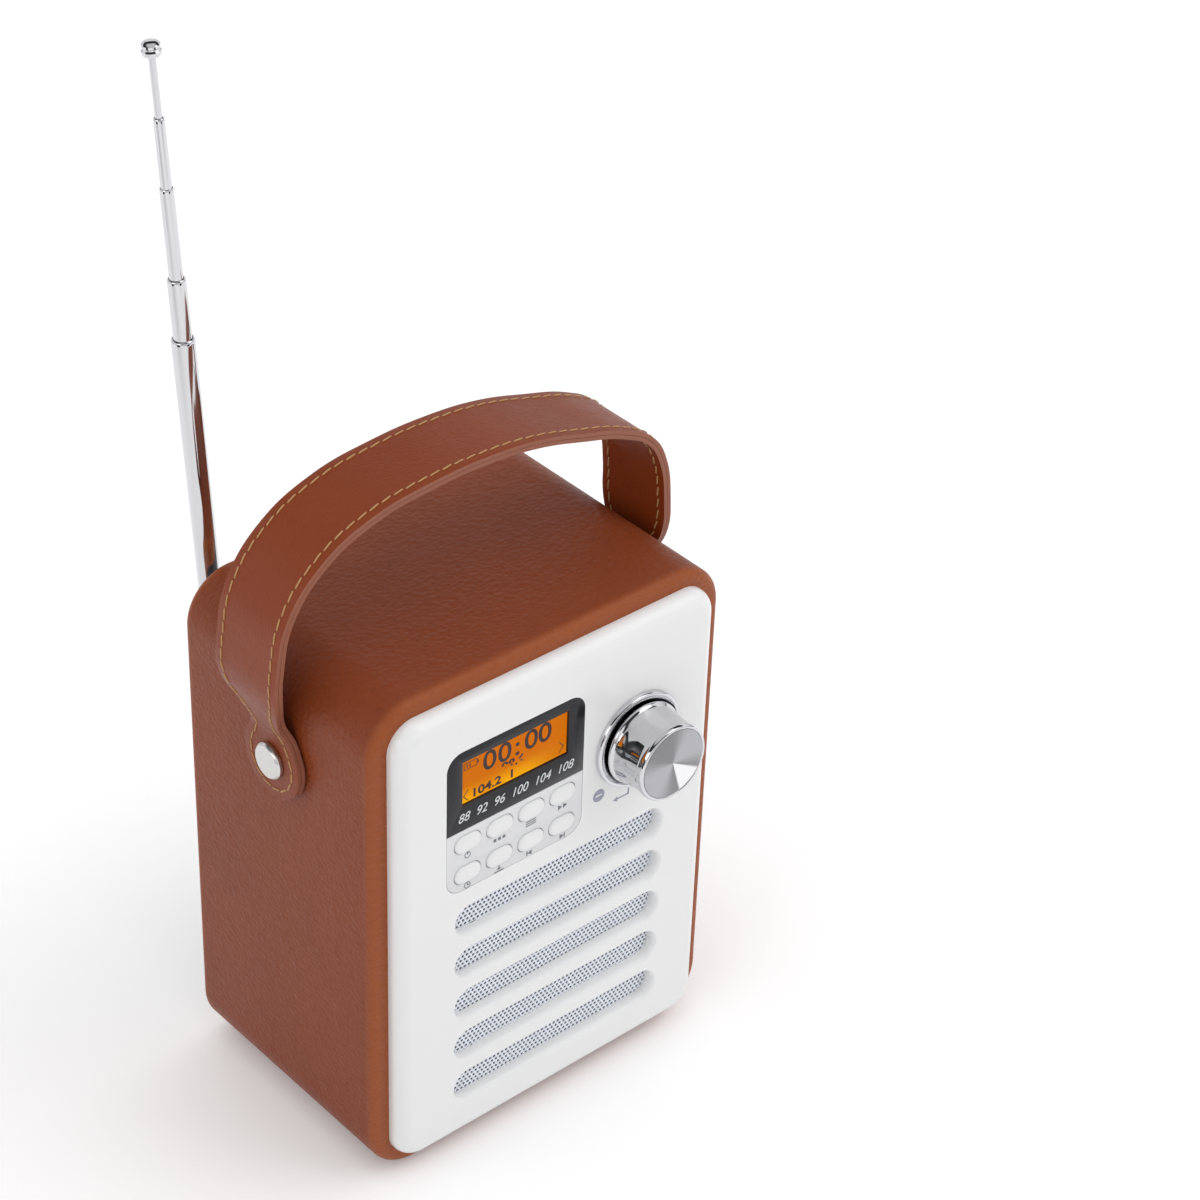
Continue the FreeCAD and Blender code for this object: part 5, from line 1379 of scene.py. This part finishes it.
def walk(route, distance):
    """The point at a distance along a route."""
    for (x0, z0), (x1, z1) in zip(route, route[1:]):
        step = math.hypot(x1 - x0, z1 - z0)
        if distance <= step:
            t = distance / step
            return Vector((x0 + (x1 - x0) * t, 0, z0 + (z1 - z0) * t))
        distance -= step
    return Vector((route[-1][0], 0, route[-1][1]))


def stitching(length, sizes):
    """Stitches all round both faces of the flat strap."""
    route = stitch_route(length)
    total = sum(math.hypot(b[0] - a[0], b[1] - a[1]) for a, b in zip(route, route[1:]))
    stitch = sizes.stitch_length / MM
    count = round(total / (stitch + sizes.stitch_gap / MM))
    pitch = total / count
    thread = STITCH_R
    profile = ((0, 0), (thread * 0.7, 0.12), (thread, 0.6), (thread, stitch / 2), (thread, stitch - 0.6),
               (thread * 0.7, stitch - 0.12), (0, stitch))
    template = lathe("stitch", profile, (0, 0, 0), (1, 0, 0), 6, closed=False)
    places = []
    for i in range(count):
        start = walk(route, i * pitch)
        way = (walk(route, i * pitch + stitch * 0.9) - start).normalized()
        turn = Matrix((way, (0, 1, 0), way.cross(Vector((0, 1, 0))))).transposed().to_4x4()
        turn = turn @ Matrix.Rotation(STITCH_LEAN, 4, "Y")
        for y in (0.06, -STRAP_T - 0.06):
            places.append(Matrix.Translation((start + Vector((0, y, 0))) * MM) @ turn)
    return copies(template, places, "handle_stitching")


def bend_to_handle(flat, line):
    """Bends a flat piece along the strap's line and stands it up over the cabinet."""
    modify(flat, "CURVE", object=line, deform_axis="POS_X")
    upright = Matrix.Rotation(math.pi / 2, 4, "X")
    flat.data.transform(Matrix.Translation(HANDLE_CENTRE_LINE) @ upright)
    flat.matrix_world = Matrix.Identity(4)
    return flat


def edge_faces(layer, index):
    """Gives the cut edge of a flat layer its own material."""
    for face in layer.data.polygons:
        face.material_index = index if abs(face.normal.y) < 0.75 else 0


class RADIO_OT_handle(bpy.types.Operator):
    """Builds the two-layer strap and its stitching"""

    bl_idname = "radio.handle"
    bl_label = "Handle"

    def execute(self, context):
        colours = context.scene.radio_colours
        line = strap_line()
        length = line.data.splines[0].calc_length(resolution=64) / MM
        thick = (STRAP_T - LAYER_GAP) / 2
        layers = [strap_layer(length, -thick / 2, thick, "layer"),
                  strap_layer(length, -STRAP_T + thick / 2, thick, "layer")]
        strap = join(layers, "leather_strap")
        strap.data.materials.append(strap_leather(colours))
        strap.data.materials.append(strap_edge_paint(colours))
        edge_faces(strap, 1)
        bend_to_handle(strap, line)
        profile = ((0, -80), (RIVET_HOLE_R, -80), (RIVET_HOLE_R, 80), (0, 80))
        hole = lathe("hole", profile, HANDLE_CENTRE_LINE, (1, 0, 0), 40)
        cut(strap, hole)
        smooth(strap, 50.0)
        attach(strap, "handle")
        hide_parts("handle_strap")
        thread = bend_to_handle(stitching(length, context.scene.radio_sizes), line)
        place_piece(smooth(thread, 60.0), "handle", "strap_leather", waxed_thread(colours))
        bpy.data.objects.remove(line)
        return {"FINISHED"}


class RADIO_OT_rivets(bpy.types.Operator):
    """Builds the two rivets"""

    bl_idname = "radio.rivets"
    bl_label = "Rivets"

    def execute(self, context):
        sides = []
        for way in (-1, 1):
            origin = (MIDDLE_X + way * RIVET_X * MM, HANDLE_CENTRE.y, HANDLE_CENTRE.z)
            sides.append(lathe("rivet", RIVET_PROFILE, origin, (way, 0, 0), 64))
        rivets = smooth(join(sides, "handle_rivets_turned"), 20.0)
        nickel = metal("satin_nickel", (0.66, 0.65, 0.63), 0.28, grain=900.0, relief=0.006)
        place_piece(rivets, "cabinet", "rivet_steel", nickel, "handle_rivets")
        washer = metal("washer_steel", (0.55, 0.54, 0.52), 0.35)
        for node in ("rivet_washers", "rivet_nuts"):
            dress(node, washer)
        return {"FINISHED"}


# --- aerial ---------------------------------------------------------------------------------------
def mouth(outer, inner, top):
    """The open end of a tube's wall, rolled in a little, from outside to inside."""
    wall = outer - inner
    return ((outer, top - 1.2), (outer - wall * 0.15, top - 0.5), (outer - wall * 0.5, top - 0.1),
            (inner + wall * 0.2, top), (inner, top - 0.15))


def tube_profile(i):
    """One tube of the aerial."""
    outer = TUBE_RADII[i]
    inner = TUBE_RADII[i + 1] + TUBE_GAP
    bottom = TUBE_TOPS[i] - TUBE_LENGTHS[i]
    return ((inner, bottom), (outer, bottom)) + mouth(outer, inner, TUBE_TOPS[i])


def base_tube():
    """The widest tube with its solid foot and the tang that tilts on the pin."""
    outer = TUBE_RADII[0]
    inner = TUBE_RADII[1] + TUBE_GAP
    foot = BASE_FOOT
    floor = foot + FOOT_PLUG
    profile = (((0, foot), (outer - 0.5, foot), (outer - 0.12, foot + 0.15), (outer, foot + 0.5))
               + mouth(outer, inner, TUBE_TOPS[0]) + ((inner, floor), (0, floor)))
    tube = lathe("tube", profile, AERIAL_PIVOT, AERIAL_UP, 64)
    across_x = Vector((AERIAL_UP.z, 0, -AERIAL_UP.x))
    tang = lathe("tang", ((0.95, -1.5), (2.8, -1.5), (2.8, 1.5), (0.95, 1.5)), AERIAL_PIVOT, across_x, 40)
    with editing(tang):
        select(tang, "VERT", lambda vert: (vert.co - AERIAL_PIVOT).dot(AERIAL_UP) > 0.3 * MM
               and (vert.co - AERIAL_PIVOT).cross(across_x).length > 2.0 * MM)
        bpy.ops.transform.translate(value=AERIAL_UP * 2.6 * MM)
    return smooth(join([tube, tang], "aerial_tube_base"), 35.0)


class RADIO_OT_aerial(bpy.types.Operator):
    """Builds the telescopic aerial's tubes, rod and tip"""

    bl_idname = "radio.aerial"
    bl_label = "Aerial"

    def execute(self, context):
        colour = tuple(context.scene.radio_colours.chrome)
        chrome = metal("aerial_chrome", colour, 0.09, (1.0, 1.0, 0.05), 700.0, 0.002)
        place_piece(base_tube(), "aerial_base", "chrome", chrome, "aerial_base_tube")
        for i in range(1, len(TUBE_RADII) - 1):
            tube = smooth(lathe(f"aerial_tube_drawn_{i + 1}", tube_profile(i), AERIAL_PIVOT, AERIAL_UP, 48))
            place_piece(tube, f"aerial_stage_{i + 1}", "chrome", chrome, f"aerial_tube_{i + 1}")
        end = TUBE_TOPS[-1]
        radius = TUBE_RADII[-1]
        foot = end - TUBE_LENGTHS[-1]
        rod = lathe("aerial_rod_drawn", ((0, foot), (radius, foot), (radius, end + 0.4), (0, end + 0.4)),
                    AERIAL_PIVOT, AERIAL_UP, 32)
        place_piece(smooth(rod), "aerial_tip_rod", "chrome", chrome, "aerial_rod")
        button = ((0, end), (TIP_R - 0.55, end), (TIP_R - 0.15, end + 0.2), (TIP_R, end + 0.7),
                  (TIP_R, end + 1.3), (TIP_R - 0.35, end + 1.75), (TIP_R - 0.35, end + 2.0),
                  (TIP_R - 0.12, end + 2.3), (TIP_R - 0.15, end + 2.9), (TIP_R - 0.6, end + 3.35),
                  (TIP_R - 1.3, end + TIP_T), (0, end + TIP_T))
        tip = smooth(lathe("aerial_tip_turned", button, AERIAL_PIVOT, AERIAL_UP, 48), 30.0)
        place_piece(tip, "aerial_tip_rod", "chrome", chrome, "aerial_tip")
        for node in ("aerial_mount", "aerial_swivel"):
            dress(node, chrome)
        dress("aerial_pin", metal("pin_steel", (0.5, 0.5, 0.5), 0.3))
        return {"FINISHED"}


# --- back and inside ------------------------------------------------------------------------------
def socket_marks():
    """Moulded marks under the two sockets: a plug and a headband."""
    usb_lo, usb_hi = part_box("usb_socket")
    jack_lo, jack_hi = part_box("headphone_jack")
    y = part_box("back_cover")[1][1] + 0.01 * MM
    usb = (usb_lo[0] + usb_hi[0]) / 2
    jack = (jack_lo[0] + jack_hi[0]) / 2
    z = usb_lo[2] - 5.0 * MM
    plug = [bar("mark", usb, z, y, 2.6, 1.3), bar("mark", usb - 0.6 * MM, z + 1.1 * MM, y, 0.3, 0.9),
            bar("mark", usb + 0.6 * MM, z + 1.1 * MM, y, 0.3, 0.9),
            bar("mark", usb, z - 1.3 * MM, y, 0.3, 1.4)]
    profile = ((1.25, -0.02), (1.5, -0.02), (1.5, 0.02), (1.25, 0.02))
    band = lathe("band", profile, (jack, y, z - 0.3 * MM), steps=32)
    with editing(band):
        select(band, "FACE", lambda face: face.calc_center_median().z < z - 0.3 * MM)
        bpy.ops.mesh.delete(type="FACE")
        bpy.ops.mesh.select_all(action="SELECT")
        bpy.ops.mesh.region_to_loop()
        bpy.ops.mesh.edge_face_add()
    cups = [bar("mark", jack + s * 1.38 * MM, z - 0.75 * MM, y, 0.75, 1.2) for s in (-1, 1)]
    return join(plug + [band] + cups, "socket_marks")


class RADIO_OT_back(bpy.types.Operator):
    """Finishes the back cover and its sockets, and adds their marks"""

    bl_idname = "radio.back"
    bl_label = "Back"

    def execute(self, context):
        dress("back_cover", back_grain())
        mark = moulded("socket_print", (0.45, 0.45, 0.46), 0.5, 2500.0, 0.01)
        place_piece(socket_marks(), "cabinet", "back_plastic", mark)
        dress("usb_socket", metal("tinned_shell", (0.66, 0.66, 0.67), 0.25, (1.0, 0.1, 1.0)))
        dress("headphone_jack", moulded("jack_moulding", (0.03, 0.03, 0.033), 0.4, 1500.0, 0.02))
        zinc = metal("zinc_plate", (0.60, 0.61, 0.63), 0.28, grain=1200.0, relief=0.01)
        for node in ("long_screws", "small_screws"):
            dress(node, zinc)
        return {"FINISHED"}


class RADIO_OT_inside(bpy.types.Operator):
    """Finishes everything inside the cabinet"""

    bl_idname = "radio.inside"
    bl_label = "Inside"

    def execute(self, context):
        board = circuit_board()
        for node in ("front_board", "main_board"):
            dress(node, board)
        steel = metal("pressed_steel", (0.55, 0.55, 0.52), 0.38, (1.0, 0.3, 1.0), 300.0, 0.01)
        for node in ("speaker_basket", "speaker_top_plate", "speaker_yoke"):
            dress(node, steel)
        paper = moulded("cone_paper_felted", (0.028, 0.027, 0.026), 0.85, 700.0, 0.12, 0.2)
        for node in ("speaker_cone", "dust_cap"):
            dress(node, paper)
        dress("speaker_magnet", moulded("sintered_ferrite", (0.035, 0.034, 0.036), 0.6, 500.0, 0.05, 0.15))
        dress("speaker_surround", moulded("surround_rubber", (0.02, 0.02, 0.02), 0.55, 1200.0, 0.02))
        dress("speaker_gasket", moulded("gasket_foam", (0.03, 0.03, 0.03), 0.9, 1600.0, 0.3, 0.3))
        dress("voice_coil", wound_copper())
        dress("tact_switches", moulded("switch_moulding", (0.022, 0.022, 0.022), 0.45, 1500.0, 0.02))
        dress("tuner_shield", metal("tinned_can", (0.68, 0.68, 0.68), 0.24, (1.0, 0.1, 1.0), 250.0))
        dress("ribbon_cable", striped("flat_cable", (0.72, 0.71, 0.68), (0.42, 0.42, 0.42), "X", 1000.0))
        dress("battery_holder", moulded("holder_moulding", (0.03, 0.03, 0.033), 0.5, 900.0, 0.03))
        sleeve = striped("cell_sleeve", (0.012, 0.05, 0.22), (0.02, 0.08, 0.30), "X", 60.0, 0.3, 0.01)
        dress("battery_cell", sleeve)
        return {"FINISHED"}


# --- studio ---------------------------------------------------------------------------------------
# what shiny surfaces see of the sky: (height, from straight down at 0 to straight up at 1, and level)
SKY_BANDS = ((0.0, 0.05), (0.47, 0.05), (0.53, 0.55), (0.60, 0.85), (0.73, 1.05), (0.77, 0.04),
             (0.90, 0.04), (0.95, 0.7))
FLOOR_GLOW = 0.07       # a little light of the floor's own, to lift it to white


def studio_sky(strength):
    """An even pale sky, which shiny surfaces see as dark low down and in a band high up."""
    world = bpy.data.worlds.new("studio_sky")
    world.use_nodes = True
    tree = world.node_tree
    tree.nodes.clear()
    new = tree.nodes.new
    place, split, ramp, light, out = (new(kind) for kind in (
        "ShaderNodeTexCoord", "ShaderNodeSeparateXYZ", "ShaderNodeValToRGB", "ShaderNodeLightPath",
        "ShaderNodeOutputWorld"))
    plain, banded, mix = new("ShaderNodeBackground"), new("ShaderNodeBackground"), new("ShaderNodeMixShader")
    for i, (at, level) in enumerate(SKY_BANDS):
        stop = ramp.color_ramp.elements[i] if i < 2 else ramp.color_ramp.elements.new(at)
        stop.position = at
        stop.color = (level, level, level * 1.02, 1)
    half = new("ShaderNodeMath")
    half.operation = "MULTIPLY_ADD"
    half.inputs[1].default_value = half.inputs[2].default_value = 0.5
    plain.inputs["Color"].default_value = (1.0, 1.0, 1.0, 1.0)
    plain.inputs["Strength"].default_value = strength
    links = ((place.outputs["Generated"], split.inputs[0]), (split.outputs["Z"], half.inputs[0]),
             (half.outputs[0], ramp.inputs[0]), (ramp.outputs[0], banded.inputs["Color"]),
             (light.outputs["Is Glossy Ray"], mix.inputs[0]), (plain.outputs[0], mix.inputs[1]),
             (banded.outputs[0], mix.inputs[2]), (mix.outputs[0], out.inputs[0]))
    for source, target in links:
        tree.links.new(source, target)
    bpy.context.scene.world = world


def soft_light(name, place, target, size, power):
    """A square area light that faces a point."""
    clear_selection()
    bpy.ops.object.light_add(type="AREA", location=place)
    lamp = bpy.context.object
    lamp.name = name
    lamp.data.shape = "SQUARE"
    lamp.data.size = size
    lamp.data.energy = power
    lamp.rotation_euler = (Vector(target) - Vector(place)).to_track_quat("-Z", "Y").to_euler()
    return lamp


def dark_flag(name, place, turn, width, height):
    """A black card that stands out of the picture and gives the chrome its dark bands."""
    clear_selection()
    bpy.ops.mesh.primitive_plane_add(size=1.0, location=place, rotation=(math.pi / 2, 0, turn))
    card = bpy.context.object
    card.name = name
    settle(card)
    with editing(card):
        bpy.ops.mesh.select_all(action="SELECT")
        bpy.ops.transform.resize(value=(width, width, height), center_override=place)
    card.data.materials.append(moulded("flag_cloth", (0.01, 0.01, 0.01), 0.9, 600.0, 0.05))


def studio_camera(studio):
    """The camera, from its azimuth, elevation and roll."""
    level = math.cos(studio.elevation)
    ahead = Vector((-math.sin(studio.azimuth) * level, math.cos(studio.azimuth) * level,
                    -math.sin(studio.elevation)))
    right = ahead.cross(Vector((0, 0, 1))).normalized()
    turn = Matrix.Rotation(-studio.roll, 3, ahead)
    right = turn @ right
    up = right.cross(ahead)
    frame_axes = Matrix((right, up, -ahead)).transposed()
    clear_selection()
    bpy.ops.object.camera_add(location=studio.place, rotation=frame_axes.to_euler())
    camera = bpy.context.object
    camera.name = "studio_camera"
    camera.data.lens = studio.focal
    camera.data.sensor_width = 36.0
    camera.data.clip_start = 0.01
    bpy.context.scene.camera = camera


class RADIO_OT_studio(bpy.types.Operator):
    """Builds the floor, the lights and the camera"""

    bl_idname = "radio.studio"
    bl_label = "Studio"

    def execute(self, context):
        studio = context.scene.radio_studio
        colours = context.scene.radio_colours
        clear_selection()
        bpy.ops.mesh.primitive_circle_add(vertices=96, radius=6.0, fill_type="NGON", location=(0, 0, 0))
        floor = bpy.context.object
        floor.name = "studio_floor"
        paper = moulded("floor_paper", tuple(colours.floor), 0.6, 200.0, 0.002, 0.006)
        shader = next(node for node in paper.node_tree.nodes if node.type == "BSDF_PRINCIPLED")
        shader.inputs["Emission Color"].default_value = (1.0, 1.0, 1.0, 1.0)
        shader.inputs["Emission Strength"].default_value = FLOOR_GLOW
        floor.data.materials.append(paper)
        dark_flag("flag_left", (-0.62, -0.10, 0.16), math.radians(80), 0.34, 0.30)
        dark_flag("flag_front", (0.10, -0.66, 0.12), math.radians(10), 0.30, 0.22)
        studio_sky(studio.sky)
        soft_light("key_light", (0.9, -0.9, 1.5), (0, 0, 0.08), 1.1, studio.key_power)
        soft_light("side_light", (-1.4, -0.3, 0.7), (0, 0, 0.08), 0.8, studio.side_power)
        studio_camera(studio)
        context.scene.view_settings.view_transform = "Standard"
        return {"FINISHED"}


# --- add-on ---------------------------------------------------------------------------------------
OPERATORS = (RADIO_OT_cabinet, RADIO_OT_front_panel, RADIO_OT_grille, RADIO_OT_display, RADIO_OT_keypad,
             RADIO_OT_knob, RADIO_OT_handle, RADIO_OT_rivets, RADIO_OT_aerial, RADIO_OT_back,
             RADIO_OT_inside, RADIO_OT_studio)


class RADIO_PT_pieces(bpy.types.Panel):
    """Lists the radio's sizes, colours and pieces."""

    bl_label = "Tabletop radio"
    bl_idname = "RADIO_PT_pieces"
    bl_space_type = "VIEW_3D"
    bl_region_type = "UI"
    bl_category = "Radio"

    def draw(self, context):
        scene = context.scene
        for group in (scene.radio_sizes, scene.radio_colours, scene.radio_studio):
            column = self.layout.column(align=True)
            for name in group.__annotations__:
                column.prop(group, name)
        for operator in OPERATORS:
            self.layout.operator(operator.bl_idname)


CLASSES = (RadioSizes, RadioColours, RadioStudio) + OPERATORS + (RADIO_PT_pieces,)


def register():
    """Makes the classes known and gives every scene its settings."""
    for each in CLASSES:
        bpy.utils.register_class(each)
    bpy.types.Scene.radio_sizes = bpy.props.PointerProperty(type=RadioSizes)
    bpy.types.Scene.radio_colours = bpy.props.PointerProperty(type=RadioColours)
    bpy.types.Scene.radio_studio = bpy.props.PointerProperty(type=RadioStudio)


def unregister():
    """Takes them away again."""
    for name in ("radio_sizes", "radio_colours", "radio_studio"):
        delattr(bpy.types.Scene, name)
    for each in reversed(CLASSES):
        bpy.utils.unregister_class(each)


def main():
    """Builds every piece."""
    register()
    bpy.ops.radio.cabinet()
    bpy.ops.radio.front_panel()
    bpy.ops.radio.grille()
    bpy.ops.radio.display()
    bpy.ops.radio.keypad()
    bpy.ops.radio.knob()
    bpy.ops.radio.handle()
    bpy.ops.radio.rivets()
    bpy.ops.radio.aerial()
    bpy.ops.radio.back()
    bpy.ops.radio.inside()
    bpy.ops.radio.studio()


if __name__ == "__main__":
    main()
